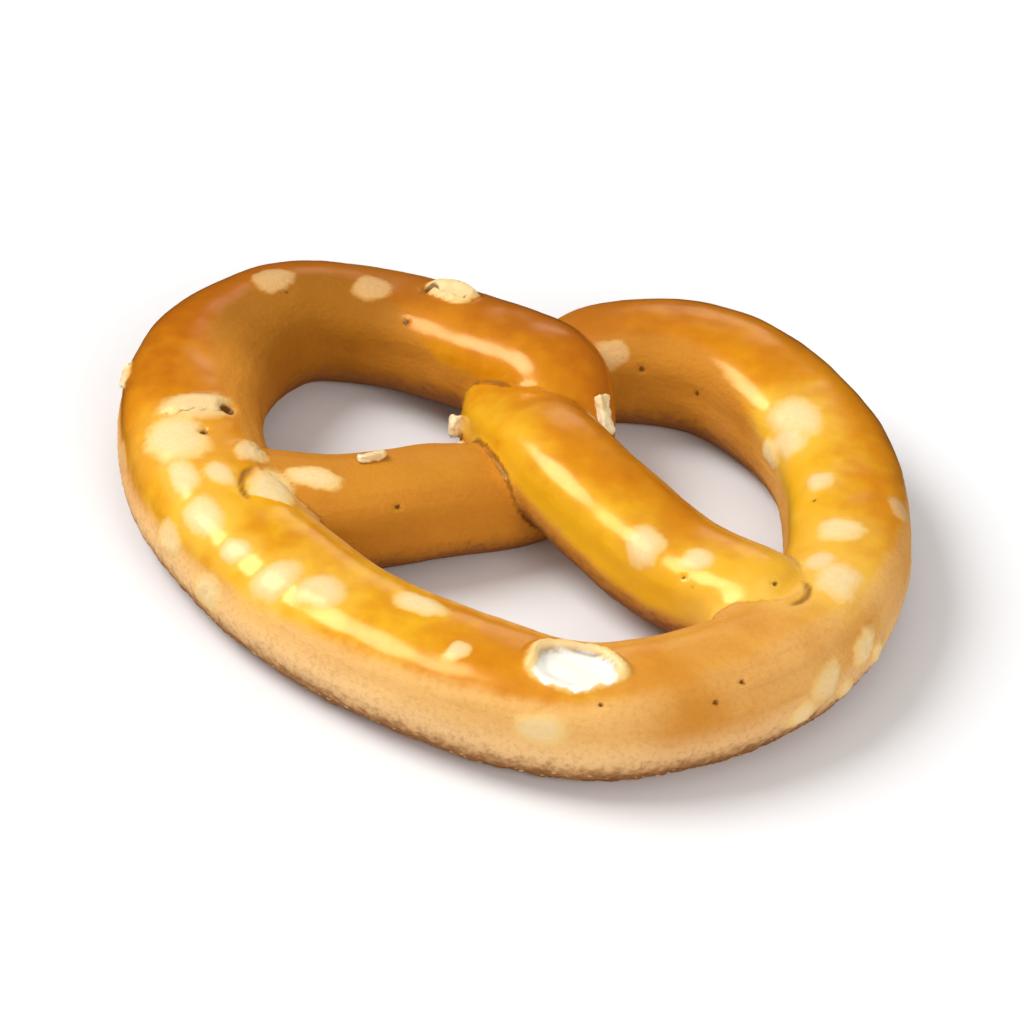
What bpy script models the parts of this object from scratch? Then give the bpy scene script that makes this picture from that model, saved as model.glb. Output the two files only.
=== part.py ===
"""A small hard-baked salted pretzel, lying flat on its baked base.

Frame: +X to the right lobe, +Y from the belly to the lobes, +Z up. The origin is below the middle
of the bounding box, on the plane the pretzel rests on. Units are metres, and MM gives millimetres.

One strand of dough makes the whole pretzel. It starts at the tip of the left arm, passes under the
right arm, winds over the other end and runs round the left lobe, the belly and the right lobe. It
then winds back through the twist and ends at the tip of the right arm. Coarse salt is baked into
its skin as low lumps, and blisters on it have burst.
"""

import math
import random

import bmesh
import bpy
from mathutils import Matrix, Vector

MM = 0.001

# Driving dimensions of the strand
SPAN_X = 35.2 * MM  # width between the strand's centre lines at the two sides
SPAN_Y = 29.2 * MM  # depth between the strand's centre lines, belly to lobes
HALF_WIDTH = 3.25 * MM  # half the strand's usual width
CROWN = 0.94  # height of the crown over the strand's middle, by its half width
SOLE = 0.86  # depth of the underside below the strand's middle, by its half width
SOLE_SQUARENESS = 2.7  # exponent of the squarer underside, where 2 is an ellipse
SEAM_ANGLE = -12.0  # degrees from the widest line to where the skin folds in at both sides
SEAM_SPREAD = 11.0  # degrees over which the fold fades out
SEAM_DEPTH = 0.045  # depth of the fold, by the half width
LIFT = 1.45 * MM  # how far the strand rises where it passes over itself
BAKED_FLAT = 0.25 * MM  # depth of underside that the oven belt has left flat

# The strand's route. Each station has its place by half span, its rise by LIFT and its girth by
# HALF_WIDTH. A place along the strand is counted in stations from the first one.
ROUTE = (
    ("left arm tip", -0.80, -0.22, 0.5, 0.90),
    ("left arm foot", -0.67, -0.21, 0.5, 0.90),
    ("left arm", -0.46, -0.15, 0.3, 0.93),
    ("left arm waist", -0.20, 0.05, 0.2, 0.92),
    ("under the right arm", 0.01, 0.24, -0.1, 0.80),
    ("twist, right side", 0.07, 0.44, 0.5, 0.80),
    ("over the right lobe's root", 0.00, 0.66, 1.4, 0.90),
    ("left lobe root", -0.20, 0.80, 1.0, 0.95),
    ("left lobe crown", -0.54, 0.96, 0.2, 0.97),
    ("left lobe shoulder", -0.83, 0.90, 0.0, 1.02),
    ("left lobe side", -0.99, 0.53, 0.0, 1.12),
    ("left flank", -0.97, 0.10, 0.0, 1.16),
    ("belly left", -0.785, -0.34, 0.0, 1.12),
    ("belly left of the middle", -0.41, -0.73, 0.0, 1.08),
    ("belly middle", 0.05, -0.94, 0.0, 1.08),
    ("belly right of the middle", 0.42, -0.95, 0.0, 1.06),
    ("belly right", 0.76, -0.66, 0.0, 1.04),
    ("right flank", 0.94, -0.25, 0.0, 1.00),
    ("right lobe side", 0.95, 0.24, 0.0, 1.01),
    ("right lobe shoulder", 0.79, 0.72, 0.0, 1.03),
    ("right lobe crown", 0.46, 1.05, 0.0, 1.07),
    ("right lobe root", 0.12, 1.02, 0.0, 1.00),
    ("under the left lobe's root", -0.06, 0.78, -0.1, 0.80),
    ("twist, left side", -0.105, 0.52, 0.6, 0.78),
    ("over the left arm", 0.03, 0.28, 1.5, 0.88),
    ("right arm waist", 0.22, 0.06, 1.3, 0.93),
    ("right arm", 0.49, -0.14, 0.6, 0.93),
    ("right arm foot", 0.75, -0.27, 0.7, 0.90),
    ("right arm tip", 0.875, -0.33, 0.7, 0.90),
)

# Salt lumps baked into the skin: where each one lies, its place along the strand, its angle round
# the strand in degrees (0 is the right-hand side along the route, 90 is up), and its length along
# the strand, its width and its rise in millimetres.
GRAINS = (
    ("left arm foot, low", 1.20, 45, 2.3, 1.9, 0.30),
    ("left arm foot, high", 1.60, 72, 1.9, 1.5, 0.28),
    ("left arm, edge of the hole", 2.15, 112, 0.9, 0.9, 0.22),
    ("fold right of the twist", 5.45, 42, 1.9, 1.1, 0.30),
    ("left lobe, back", 8.15, 95, 2.0, 1.7, 0.24),
    ("left lobe, back corner", 9.25, 88, 2.3, 1.9, 0.24),
    ("left lobe, outer side", 10.60, 22, 2.0, 1.5, 0.22),
    ("left flank, wide", 11.55, 62, 2.7, 2.2, 0.26),
    ("left flank, outer side", 11.30, 6, 2.0, 1.6, 0.22),
    ("left flank, beside the arm", 11.95, 132, 1.5, 1.6, 0.20),
    ("left flank, small", 12.05, 95, 1.2, 1.2, 0.22),
    ("belly left, upper", 12.35, 62, 1.8, 1.4, 0.24),
    ("belly left, edge", 12.20, 12, 1.8, 1.5, 0.22),
    ("belly left, small", 12.58, 68, 1.4, 1.2, 0.24),
    ("belly left, round", 12.76, 62, 2.1, 2.1, 0.30),
    ("belly left, low side", 12.58, 8, 2.1, 1.6, 0.22),
    ("belly left, heart", 13.02, 68, 2.3, 2.1, 0.30),
    ("belly, inner edge", 13.58, 106, 2.5, 1.7, 0.24),
    ("belly, small", 13.97, 66, 1.3, 1.2, 0.26),
    ("belly, low side", 14.60, 18, 2.7, 1.7, 0.20),
    ("belly right, flake", 16.45, 12, 2.2, 1.5, 0.22),
    ("belly right, upper flake", 16.90, 12, 2.2, 1.5, 0.22),
    ("right flank, square", 17.02, 88, 2.2, 2.2, 0.28),
    ("right flank", 17.65, 108, 1.5, 2.1, 0.26),
    ("right lobe, outer side", 18.00, 42, 1.8, 1.3, 0.22),
    ("right lobe, small", 18.22, 128, 1.1, 1.0, 0.22),
    ("right lobe, edge of the hole", 18.80, 165, 1.7, 1.2, 0.28),
    ("right lobe, inner side", 19.15, 125, 2.0, 1.6, 0.22),
    ("right lobe root", 21.10, 132, 1.5, 1.7, 0.24),
    ("twist, left side", 23.20, 0, 1.6, 1.4, 0.28),
    ("right arm", 25.85, 48, 2.1, 2.0, 0.26),
    ("right arm, small", 26.50, 62, 1.5, 1.4, 0.24),
    ("right arm foot", 26.95, 16, 2.0, 1.7, 0.22),
)

# Burst blisters, listed in the same way, with the depth of the hollow in each as a last number
BLISTERS = (
    ("belly, large and white", 14.77, 86, 5.2, 3.5, 0.50, 0.55),
    ("left lobe, back edge", 7.48, 72, 3.2, 2.0, 0.42, 0.35),
    ("left flank, cracked", 11.24, 100, 3.0, 3.4, 0.28, 0.20),
)

LUMP_BURIED = 0.3  # share of a lump's half height by which its middle lies below the skin
LUMP_UNEVENNESS = 0.10  # share of its size by which a lump's surface varies
HOLLOW_SHARE = 0.62  # width of a blister's hollow, by the blister's own
SEED = 41

# How finely it is built
PROFILE_SIDES = 24
RING_STEP = 1.4 * MM
TIP_RINGS = 4
BLOCK_SIZE = 80.0 * MM
WELD = 0.004 * MM
SHARP_ANGLE = 40.0


def clear_scene():
    """Removes every object that the file opened with."""
    for item in list(bpy.data.objects):
        bpy.data.objects.remove(item)


def new_collection(name):
    """An empty collection, linked to the scene."""
    group = bpy.data.collections.new(name)
    bpy.context.scene.collection.children.link(group)
    return group


def baked_crust():
    """The golden crust's material."""
    crust = bpy.data.materials.new("baked_crust")
    crust.use_nodes = True
    shader = crust.node_tree.nodes["Principled BSDF"]
    shader.inputs["Base Color"].default_value = (0.62, 0.29, 0.07, 1.0)
    shader.inputs["Roughness"].default_value = 0.36
    shader.inputs["Metallic"].default_value = 0.0
    return crust


def stations():
    """ROUTE as four-part vectors: the strand's middle and its half width, in metres."""
    found = []
    for _, across, along, rise, girth in ROUTE:
        half_width = girth * HALF_WIDTH
        height = SOLE * half_width - BAKED_FLAT + rise * LIFT
        found.append(Vector((across * SPAN_X / 2, along * SPAN_Y / 2, height, half_width)))
    return found


STATIONS = stations()
LAST_PLACE = len(STATIONS) - 1


def strand_at(place):
    """The strand's middle and half width at a place, on a smooth curve through the stations."""
    first = min(int(place), LAST_PLACE - 1)
    t = place - first
    before, start, end, after = (STATIONS[min(max(first + k, 0), LAST_PLACE)] for k in (-1, 0, 1, 2))
    return (
        start
        + (end - before) * (t / 2)
        + (2 * before - 5 * start + 4 * end - after) * (t**2 / 2)
        + (3 * start - before - 3 * end + after) * (t**3 / 2)
    )


def strand_axes(place):
    """The strand's own directions at a place: along it, to its right and up from its middle."""
    step = 0.01
    ahead = strand_at(min(place + step, LAST_PLACE)).xyz
    behind = strand_at(max(place - step, 0)).xyz
    along = (ahead - behind).normalized()
    right = Vector((along.y, -along.x, 0.0)).normalized()
    return along, right, right.cross(along)


def profile_radius(angle):
    """The unit section's radius at an angle in radians, where 0 is the side and a quarter turn is up."""
    across, up = math.cos(angle), math.sin(angle)
    if up >= 0:
        radius = 1 / math.hypot(across, up / CROWN)
    else:
        power = SOLE_SQUARENESS
        radius = (abs(across) ** power + (abs(up) / SOLE) ** power) ** (-1 / power)
    slope = math.degrees(math.atan2(up, abs(across)))
    fold = math.exp(-(((slope - SEAM_ANGLE) / SEAM_SPREAD) ** 2))
    return radius * (1 - SEAM_DEPTH * fold)


def half_width_at(place):
    """Half the strand's width at a place. It rounds off to nothing over the first and the last span."""
    from_tip = min(place, LAST_PLACE - place, 1.0)
    return strand_at(place).w * math.sqrt(1 - (1 - from_tip) ** 2)


def skin_point(place, angle):
    """The point on the strand's skin at a place along it and an angle in radians round it."""
    _, right, up = strand_axes(place)
    outwards = right * math.cos(angle) + up * math.sin(angle)
    return strand_at(place).xyz + outwards * profile_radius(angle) * half_width_at(place)


def ring_places():
    """Places that get a ring of points: close together on the round tips and even between them."""
    tip = [1 - math.cos(math.pi / 2 * ring / TIP_RINGS) for ring in range(1, TIP_RINGS)]
    tip.insert(0, tip[0] / 5)
    places = list(tip)
    for first in range(1, LAST_PLACE - 1):
        length = (STATIONS[first + 1].xyz - STATIONS[first].xyz).length
        steps = math.ceil(length / RING_STEP)
        places += [first + step / steps for step in range(steps)]
    return places + [LAST_PLACE - 1] + [LAST_PLACE - place for place in reversed(tip)]


def strand_profile(name):
    """The strand's unit section as a closed flat curve: a round crown on a squarer underside."""
    data = bpy.data.curves.new(name, "CURVE")
    data.dimensions = "2D"
    outline = data.splines.new("POLY")
    outline.points.add(PROFILE_SIDES - 1)
    outline.use_cyclic_u = True
    for side, point in enumerate(outline.points):
        angle = 2 * math.pi * (side + 0.5) / PROFILE_SIDES
        radius = profile_radius(angle)
        point.co = (radius * math.cos(angle), radius * math.sin(angle), 0.0, 1.0)
    return bpy.data.objects.new(name, data)


def strand_curve(name, profile):
    """The strand as a curve that carries its section with the flat side down."""
    data = bpy.data.curves.new(name, "CURVE")
    data.dimensions = "3D"
    data.twist_mode = "Z_UP"
    data.bevel_mode = "OBJECT"
    data.bevel_object = profile
    data.use_fill_caps = True
    places = ring_places()
    line = data.splines.new("POLY")
    line.points.add(len(places) - 1)
    for point, place in zip(line.points, places):
        point.co = (*strand_at(place).xyz, 1.0)
        point.radius = half_width_at(place)
    return bpy.data.objects.new(name, data)


def strand_solid(name):
    """The strand as a closed mesh that still runs through itself at the crossings."""
    scene_objects = bpy.context.scene.collection.objects
    profile = strand_profile("strand_profile")
    curve = strand_curve("strand_curve", profile)
    scene_objects.link(profile)
    scene_objects.link(curve)
    evaluated = curve.evaluated_get(bpy.context.evaluated_depsgraph_get())
    strand = bpy.data.objects.new(name, bpy.data.meshes.new_from_object(evaluated))
    strand.matrix_world = curve.matrix_world
    bpy.data.objects.remove(curve)
    bpy.data.objects.remove(profile)
    welded = bmesh.new()
    welded.from_mesh(strand.data)
    bmesh.ops.remove_doubles(welded, verts=welded.verts, dist=WELD)
    bmesh.ops.recalc_face_normals(welded, faces=welded.faces)
    welded.to_mesh(strand.data)
    welded.free()
    return strand


def skin_matrix(place, angle_degrees, above):
    """A frame on the skin with X along the strand and Z outwards, moved outwards by a distance."""
    angle = math.radians(angle_degrees)
    nudge = math.radians(2)
    along, _, _ = strand_axes(place)
    upwards = (skin_point(place, angle + nudge) - skin_point(place, angle - nudge)).normalized()
    outwards = along.cross(upwards).normalized()
    turned = Matrix((along, outwards.cross(along), outwards)).transposed().to_4x4()
    return Matrix.Translation(skin_point(place, angle) + outwards * above) @ turned


def lump(name, frame, length, width, half_height, dice):
    """A low uneven lump, centred on a frame."""
    built = bmesh.new()
    bmesh.ops.create_icosphere(built, subdivisions=2, radius=1.0)
    for corner in built.verts:
        corner.co *= 1 + dice.uniform(-LUMP_UNEVENNESS, LUMP_UNEVENNESS)
    built.transform(Matrix.Diagonal((length / 2, width / 2, half_height, 1.0)))
    data = bpy.data.meshes.new(name)
    built.to_mesh(data)
    built.free()
    made = bpy.data.objects.new(name, data)
    made.matrix_world = frame
    return made


def salt_lumps():
    """A collection with every salt lump and the raised skin of every blister."""
    dice = random.Random(SEED)
    group = new_collection("salt_lumps")
    for name, place, angle, length, width, rise in GRAINS + tuple(blister[:6] for blister in BLISTERS):
        half_height = rise * MM / (1 - LUMP_BURIED)
        frame = skin_matrix(place, angle, -LUMP_BURIED * half_height)
        group.objects.link(lump(name, frame, length * MM, width * MM, half_height, dice))
    return group


def blister_hollows():
    """A collection with the shapes that are cut out of the burst blisters."""
    dice = random.Random(SEED + 1)
    group = new_collection("blister_hollows")
    for name, place, angle, length, width, rise, depth in BLISTERS:
        frame = skin_matrix(place, angle, rise * MM)
        size = (length * MM * HOLLOW_SHARE, width * MM * HOLLOW_SHARE, depth * MM)
        group.objects.link(lump(name, frame, *size, dice))
    return group


def oven_belt():
    """A collection with one block, whose top is the plane the pretzel rests on."""
    built = bmesh.new()
    bmesh.ops.create_cube(built, size=BLOCK_SIZE, matrix=Matrix.Translation((0.0, 0.0, -BLOCK_SIZE / 2)))
    data = bpy.data.meshes.new("belt_block")
    built.to_mesh(data)
    built.free()
    group = new_collection("oven_belt")
    group.objects.link(bpy.data.objects.new("belt_block", data))
    return group


def combine(solid, operation, helpers):
    """Joins a solid with a collection, or cuts it with one, applies the step and removes the helpers."""
    step = solid.modifiers.new(operation.lower(), "BOOLEAN")
    step.operation = operation
    step.solver = "EXACT"
    step.use_self = True
    step.operand_type = "COLLECTION"
    step.collection = helpers
    evaluated = solid.evaluated_get(bpy.context.evaluated_depsgraph_get())
    result = bpy.data.meshes.new_from_object(evaluated)
    solid.modifiers.clear()
    solid.data = result
    for helper in list(helpers.objects):
        bpy.data.objects.remove(helper)
    bpy.data.collections.remove(helpers)


def finish_mesh(solid):
    """Welds points that lie on top of each other, leaves only triangles and smooths the shading."""
    built = bmesh.new()
    built.from_mesh(solid.data)
    bmesh.ops.remove_doubles(built, verts=built.verts, dist=WELD)
    bmesh.ops.dissolve_degenerate(built, edges=built.edges, dist=WELD)
    bmesh.ops.triangulate(built, faces=built.faces)
    built.to_mesh(solid.data)
    built.free()
    solid.data.name = solid.name
    solid.data.shade_smooth()
    solid.data.set_sharp_from_angle(angle=math.radians(SHARP_ANGLE))


def centre_over_origin(solid):
    """Moves the points so that the bounding box's middle is over the origin and its bottom is at zero."""
    corners = [vertex.co for vertex in solid.data.vertices]
    low = Vector(min(corner[axis] for corner in corners) for axis in range(3))
    high = Vector(max(corner[axis] for corner in corners) for axis in range(3))
    middle = (low + high) / 2
    solid.data.transform(Matrix.Translation((-middle.x, -middle.y, -low.z)))


def main():
    clear_scene()
    salted_pretzel = new_collection("salted_pretzel")
    pretzel = strand_solid("pretzel")
    salted_pretzel.objects.link(pretzel)
    combine(pretzel, "UNION", salt_lumps())
    combine(pretzel, "DIFFERENCE", blister_hollows())
    combine(pretzel, "DIFFERENCE", oven_belt())
    finish_mesh(pretzel)
    centre_over_origin(pretzel)
    pretzel.data.materials.clear()
    pretzel.data.materials.append(baked_crust())


main()
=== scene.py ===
"""The looks of a small hard-baked salted pretzel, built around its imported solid.

Frame: +X to the right lobe, +Y from the belly to the lobes, +Z up, with the origin below the middle
of the pretzel. Units are metres, and MM gives millimetres. A place along the strand is counted in
stations of its route, and an angle round it is in degrees: 0 is the right-hand side along the
route, 90 is up and 180 is the left-hand side.
"""

import logging
import math
import random
from collections.abc import Sequence
from dataclasses import dataclass, field
from enum import Enum
from functools import partial, reduce

import bpy
import numpy as np
from mathutils import Euler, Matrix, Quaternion, Vector


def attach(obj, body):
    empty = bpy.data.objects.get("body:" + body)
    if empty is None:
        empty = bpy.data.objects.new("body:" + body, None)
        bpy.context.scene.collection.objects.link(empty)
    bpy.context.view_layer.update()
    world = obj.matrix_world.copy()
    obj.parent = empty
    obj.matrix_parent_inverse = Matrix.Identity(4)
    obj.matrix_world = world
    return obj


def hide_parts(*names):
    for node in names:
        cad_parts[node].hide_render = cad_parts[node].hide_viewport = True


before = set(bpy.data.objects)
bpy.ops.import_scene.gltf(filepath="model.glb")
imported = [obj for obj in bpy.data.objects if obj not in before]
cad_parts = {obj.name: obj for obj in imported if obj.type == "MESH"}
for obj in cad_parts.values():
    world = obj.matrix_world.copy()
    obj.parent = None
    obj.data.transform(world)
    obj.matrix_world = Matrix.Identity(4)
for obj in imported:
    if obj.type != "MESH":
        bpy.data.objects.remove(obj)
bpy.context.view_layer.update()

LOG = logging.getLogger("pretzel")
MM = 0.001
BODY = "root"
FAR = 9.0  # stands for a distance, in millimetres, that is out of reach of an effect
ALONG_STRAND = (0.13, 1.0, 1.0)  # draws a pattern out along the strand
TO_MILLIMETRES = (1 / MM, 1 / MM, 1 / MM)

Colour = tuple[float, float, float]
Source = bpy.types.NodeSocket | float | tuple[float, ...] | bpy.types.ID


# The strand's route and section, the same as the solid's


@dataclass(frozen=True)
class Station:
    """A point of the strand's route: its place by half span, its rise by the lift and its girth."""

    name: str
    across: float
    along: float
    rise: float
    girth: float


ROUTE = (
    Station("left arm tip", -0.80, -0.22, 0.5, 0.90),
    Station("left arm foot", -0.67, -0.21, 0.5, 0.90),
    Station("left arm", -0.46, -0.15, 0.3, 0.93),
    Station("left arm waist", -0.20, 0.05, 0.2, 0.92),
    Station("under the right arm", 0.01, 0.24, -0.1, 0.80),
    Station("twist, right side", 0.07, 0.44, 0.5, 0.80),
    Station("over the right lobe's root", 0.00, 0.66, 1.4, 0.90),
    Station("left lobe root", -0.20, 0.80, 1.0, 0.95),
    Station("left lobe crown", -0.54, 0.96, 0.2, 0.97),
    Station("left lobe shoulder", -0.83, 0.90, 0.0, 1.02),
    Station("left lobe side", -0.99, 0.53, 0.0, 1.12),
    Station("left flank", -0.97, 0.10, 0.0, 1.16),
    Station("belly left", -0.785, -0.34, 0.0, 1.12),
    Station("belly left of the middle", -0.41, -0.73, 0.0, 1.08),
    Station("belly middle", 0.05, -0.94, 0.0, 1.08),
    Station("belly right of the middle", 0.42, -0.95, 0.0, 1.06),
    Station("belly right", 0.76, -0.66, 0.0, 1.04),
    Station("right flank", 0.94, -0.25, 0.0, 1.00),
    Station("right lobe side", 0.95, 0.24, 0.0, 1.01),
    Station("right lobe shoulder", 0.79, 0.72, 0.0, 1.03),
    Station("right lobe crown", 0.46, 1.05, 0.0, 1.07),
    Station("right lobe root", 0.12, 1.02, 0.0, 1.00),
    Station("under the left lobe's root", -0.06, 0.78, -0.1, 0.80),
    Station("twist, left side", -0.105, 0.52, 0.6, 0.78),
    Station("over the left arm", 0.03, 0.28, 1.5, 0.88),
    Station("right arm waist", 0.22, 0.06, 1.3, 0.93),
    Station("right arm", 0.49, -0.14, 0.6, 0.93),
    Station("right arm foot", 0.75, -0.27, 0.7, 0.90),
    Station("right arm tip", 0.875, -0.33, 0.7, 0.90),
)


@dataclass(frozen=True)
class SkinSpot:
    """A point on the strand's skin, in metres, with the skin's own directions there."""

    centre: np.ndarray
    along: np.ndarray
    round: np.ndarray
    outwards: np.ndarray

    def offsets(self, points: np.ndarray) -> tuple[np.ndarray, np.ndarray, np.ndarray]:
        """How far points lie from this one, in millimetres.

        Args:
            points: The points, one a row, in metres.

        Returns:
            The distances along the strand, round it and out of its skin.
        """
        away = (points - self.centre) / MM
        return away @ self.along, away @ self.round, away @ self.outwards


@dataclass(frozen=True)
class Strand:
    """The strand of dough: its route through the twist and the section that it carries."""

    span_x: float = 35.2 * MM
    span_y: float = 29.2 * MM
    half_width: float = 3.25 * MM
    crown: float = 0.94
    sole: float = 0.86
    sole_squareness: float = 2.7
    seam_angle: float = -12.0
    seam_spread: float = 11.0
    seam_depth: float = 0.045
    lift: float = 1.45 * MM
    baked_flat: float = 0.25 * MM
    shift: tuple[float, float] = (0.579 * MM, -0.625 * MM)  # from the route's frame to the part's
    route: tuple[Station, ...] = ROUTE
    least_width: float = 0.15  # of a strand's own, below which its tip counts as no thinner

    @property
    def last_place(self) -> int:
        """The place of the strand's far tip."""
        return len(self.route) - 1

    def stations(self) -> np.ndarray:
        """Puts the route into the part's frame.

        Returns:
            Rows of x, y, z and half width, in metres.
        """
        rows = []
        for station in self.route:
            half_width = station.girth * self.half_width
            rows.append(
                (
                    station.across * self.span_x / 2 + self.shift[0],
                    station.along * self.span_y / 2 + self.shift[1],
                    self.sole * half_width - self.baked_flat + station.rise * self.lift,
                    half_width,
                )
            )
        return np.array(rows)

    def at(self, places: np.ndarray) -> np.ndarray:
        """The strand's middle and its half width on a smooth curve through the stations.

        Args:
            places: Places along the strand.

        Returns:
            Rows of x, y, z and half width, in metres.
        """
        stations = self.stations()
        first = np.clip(places.astype(int), 0, self.last_place - 1)
        t = (places - first)[:, None]
        before, start, end, after = (
            stations[np.clip(first + step, 0, self.last_place)] for step in (-1, 0, 1, 2)
        )
        return (
            start
            + (end - before) * (t / 2)
            + (2 * before - 5 * start + 4 * end - after) * (t**2 / 2)
            + (3 * start - before - 3 * end + after) * (t**3 / 2)
        )

    def axes(self, places: np.ndarray) -> tuple[np.ndarray, np.ndarray, np.ndarray]:
        """Finds the strand's own directions.

        Args:
            places: Places along the strand.

        Returns:
            Unit vectors along it, to its right and up from its middle.
        """
        step = 0.01
        ahead = self.at(np.minimum(places + step, self.last_place))[:, :3]
        behind = self.at(np.maximum(places - step, 0.0))[:, :3]
        along = ahead - behind
        along /= np.linalg.norm(along, axis=1, keepdims=True)
        right = np.stack([along[:, 1], -along[:, 0], np.zeros(len(along))], axis=1)
        right /= np.linalg.norm(right, axis=1, keepdims=True)
        return along, right, np.cross(right, along)

    def half_width_at(self, places: np.ndarray) -> np.ndarray:
        """Half the strand's width, which rounds off over the first and the last span."""
        from_tip = np.minimum(np.minimum(places, self.last_place - places), 1.0)
        return self.at(places)[:, 3] * np.sqrt(1 - (1 - from_tip) ** 2)

    def profile_radius(self, angles: np.ndarray) -> np.ndarray:
        """Measures the unit section.

        Args:
            angles: Angles round it, in radians.

        Returns:
            Its radius at each angle.
        """
        across, up = np.cos(angles), np.sin(angles)
        power = self.sole_squareness
        crown = 1 / np.hypot(across, up / self.crown)
        sole = (np.abs(across) ** power + (np.abs(up) / self.sole) ** power) ** (-1 / power)
        slope = np.degrees(np.arctan2(up, np.abs(across)))
        fold = np.exp(-(((slope - self.seam_angle) / self.seam_spread) ** 2))
        return np.where(up >= 0, crown, sole) * (1 - self.seam_depth * fold)

    def skin_point(self, place: float, angle: float) -> np.ndarray:
        """Finds a point on the skin.

        Args:
            place: A place along the strand.
            angle: An angle round it, in degrees.

        Returns:
            The point, in metres.
        """
        places = np.array([place])
        turn = np.radians(np.array([angle]))
        _, right, up = self.axes(places)
        outwards = right[0] * np.cos(turn) + up[0] * np.sin(turn)
        return self.at(places)[0, :3] + outwards * self.profile_radius(turn) * self.half_width_at(places)

    def spot(self, place: float, angle: float) -> SkinSpot:
        """Finds a point on the skin and the skin's own directions there.

        Args:
            place: A place along the strand.
            angle: An angle round it, in degrees.

        Returns:
            The spot.
        """
        nudge = 2.0  # degrees
        along = self.axes(np.array([place]))[0][0]
        upwards = self.skin_point(place, angle + nudge) - self.skin_point(place, angle - nudge)
        outwards = np.cross(along, upwards)
        outwards /= np.linalg.norm(outwards)
        return SkinSpot(self.skin_point(place, angle), along, np.cross(outwards, along), outwards)

    def round_of(self, distances: np.ndarray, angles: np.ndarray) -> np.ndarray:
        """Lengthwise coordinates, in millimetres: along the strand, and the section's own two.

        Args:
            distances: Distances along the strand, in metres.
            angles: Angles round it, in degrees.

        Returns:
            Rows of three coordinates, in which a streak along the strand is a straight line.
        """
        turn = np.radians(angles)
        reach = self.half_width / MM
        return np.stack([distances / MM, reach * np.cos(turn), reach * np.sin(turn)], axis=1)


@dataclass(frozen=True)
class StrandPlaces:
    """Where each point of the crust lies on the strand.

    The angle runs from -90, at the bottom, up the right-hand side and over to 270. The gap is the
    distance to the skin of the strand's next pass, in millimetres.
    """

    place: np.ndarray
    angle: np.ndarray
    distance: np.ndarray
    gap: np.ndarray


@dataclass(frozen=True)
class StrandFinder:
    """Finds where points lie on a strand, by the nearest of many samples of its route."""

    strand: Strand
    samples: int = 700
    tip: float = 0.02  # stations between the strand's end and the first sample
    batch: int = 3000
    other_pass: float = 1.3  # stations between two places that count as different passes

    def find(self, points: np.ndarray) -> StrandPlaces:
        """Looks up points.

        Args:
            points: The points, one a row, in metres.

        Returns:
            Each point's place, angle, distance along the strand and gap to the next pass.
        """
        strand = self.strand
        places = np.linspace(self.tip, strand.last_place - self.tip, self.samples)
        route = strand.at(places)
        middles = route[:, :3]
        widths = np.maximum(strand.half_width_at(places), strand.least_width * route[:, 3])
        along, right, up = strand.axes(places)
        step = places[1] - places[0]
        speed = np.linalg.norm(np.gradient(middles, step, axis=0), axis=1)
        travelled = np.concatenate([[0.0], np.cumsum(np.linalg.norm(np.diff(middles, axis=0), axis=1))])
        found: list[tuple[np.ndarray, ...]] = []
        for start in range(0, len(points), self.batch):
            part = points[start : start + self.batch]
            away = np.linalg.norm(part[:, None, :] - middles[None, :, :], axis=2)
            share = away / widths
            best = share.argmin(axis=1)
            elsewhere = np.abs(places[None, :] - places[best][:, None]) > self.other_pass
            gap = np.where(elsewhere, away - widths, FAR * MM).min(axis=1) / MM
            offset = part - middles[best]
            slide = np.clip((offset * along[best]).sum(axis=1), -step * speed[best], step * speed[best])
            rise = (offset * up[best]).sum(axis=1)
            reach = (offset * right[best]).sum(axis=1)
            angle = np.degrees(np.arctan2(rise, reach))
            found.append((places[best] + slide / speed[best], angle, travelled[best] + slide, gap))
        place, angle, distance, gap = (np.concatenate(column) for column in zip(*found))
        return StrandPlaces(place, np.where(angle < -90, angle + 360, angle), distance, gap)


# What shows on the skin, by its place along the strand and its angle round it


class PatchKind(Enum):
    """What a salt grain has left on the skin. The value is how pale the patch is; the least pale is a cream
    patch painted in shade.
    """

    CREAM = 1.0
    # Painted shade: a cream patch darkened as if it lay in shade
    TAN = 0.25
    FLAKE = 0.85
    FAINT = 0.9


PATCH_REACH = 1.4  # how far off the skin's own level, in millimetres, a patch still counts
BLISTER_REACH = 1.8
PORE_REACH = 1.6  # of folds too
UNEVEN_LOBES = ((2, 0.08), (3, 0.05), (5, 0.025))  # how often and how deeply a patch's edge waves


@dataclass(frozen=True)
class Patch:
    """A salt grain baked into the skin, with its length, width and rise in millimetres."""

    name: str
    place: float
    angle: float
    length: float
    width: float
    rise: float
    kind: PatchKind = PatchKind.CREAM
    squareness: float = 2.4
    # Painted highlight, partly: the golden skin round a patch is partly the crust's own gold and partly
    # painted highlight
    glow: float = 0.0  # how golden the skin round it is

    def nearness(self, strand: Strand, points: np.ndarray, dice: random.Random) -> np.ndarray:
        """Tells how near points are to the middle of the patch.

        Args:
            strand: The strand that it lies on.
            points: The points, one a row, in metres.
            dice: Makes its edge uneven.

        Returns:
            1 in the middle, 0 at the uneven edge, and less outside it.
        """
        along, round_it, out = strand.spot(self.place, self.angle).offsets(points)
        u = along / (self.length / 2)
        v = round_it / (self.width / 2)
        turn = np.arctan2(v, u)
        uneven = 1.0
        for lobes, depth in UNEVEN_LOBES:
            uneven = uneven + depth * np.sin(lobes * turn + dice.uniform(0, 2 * math.pi))
        power = self.squareness
        radius = (np.abs(u) ** power + np.abs(v) ** power) ** (1 / power) / uneven
        return np.where(np.abs(out) < PATCH_REACH, 1 - radius, 1 - FAR)


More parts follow.
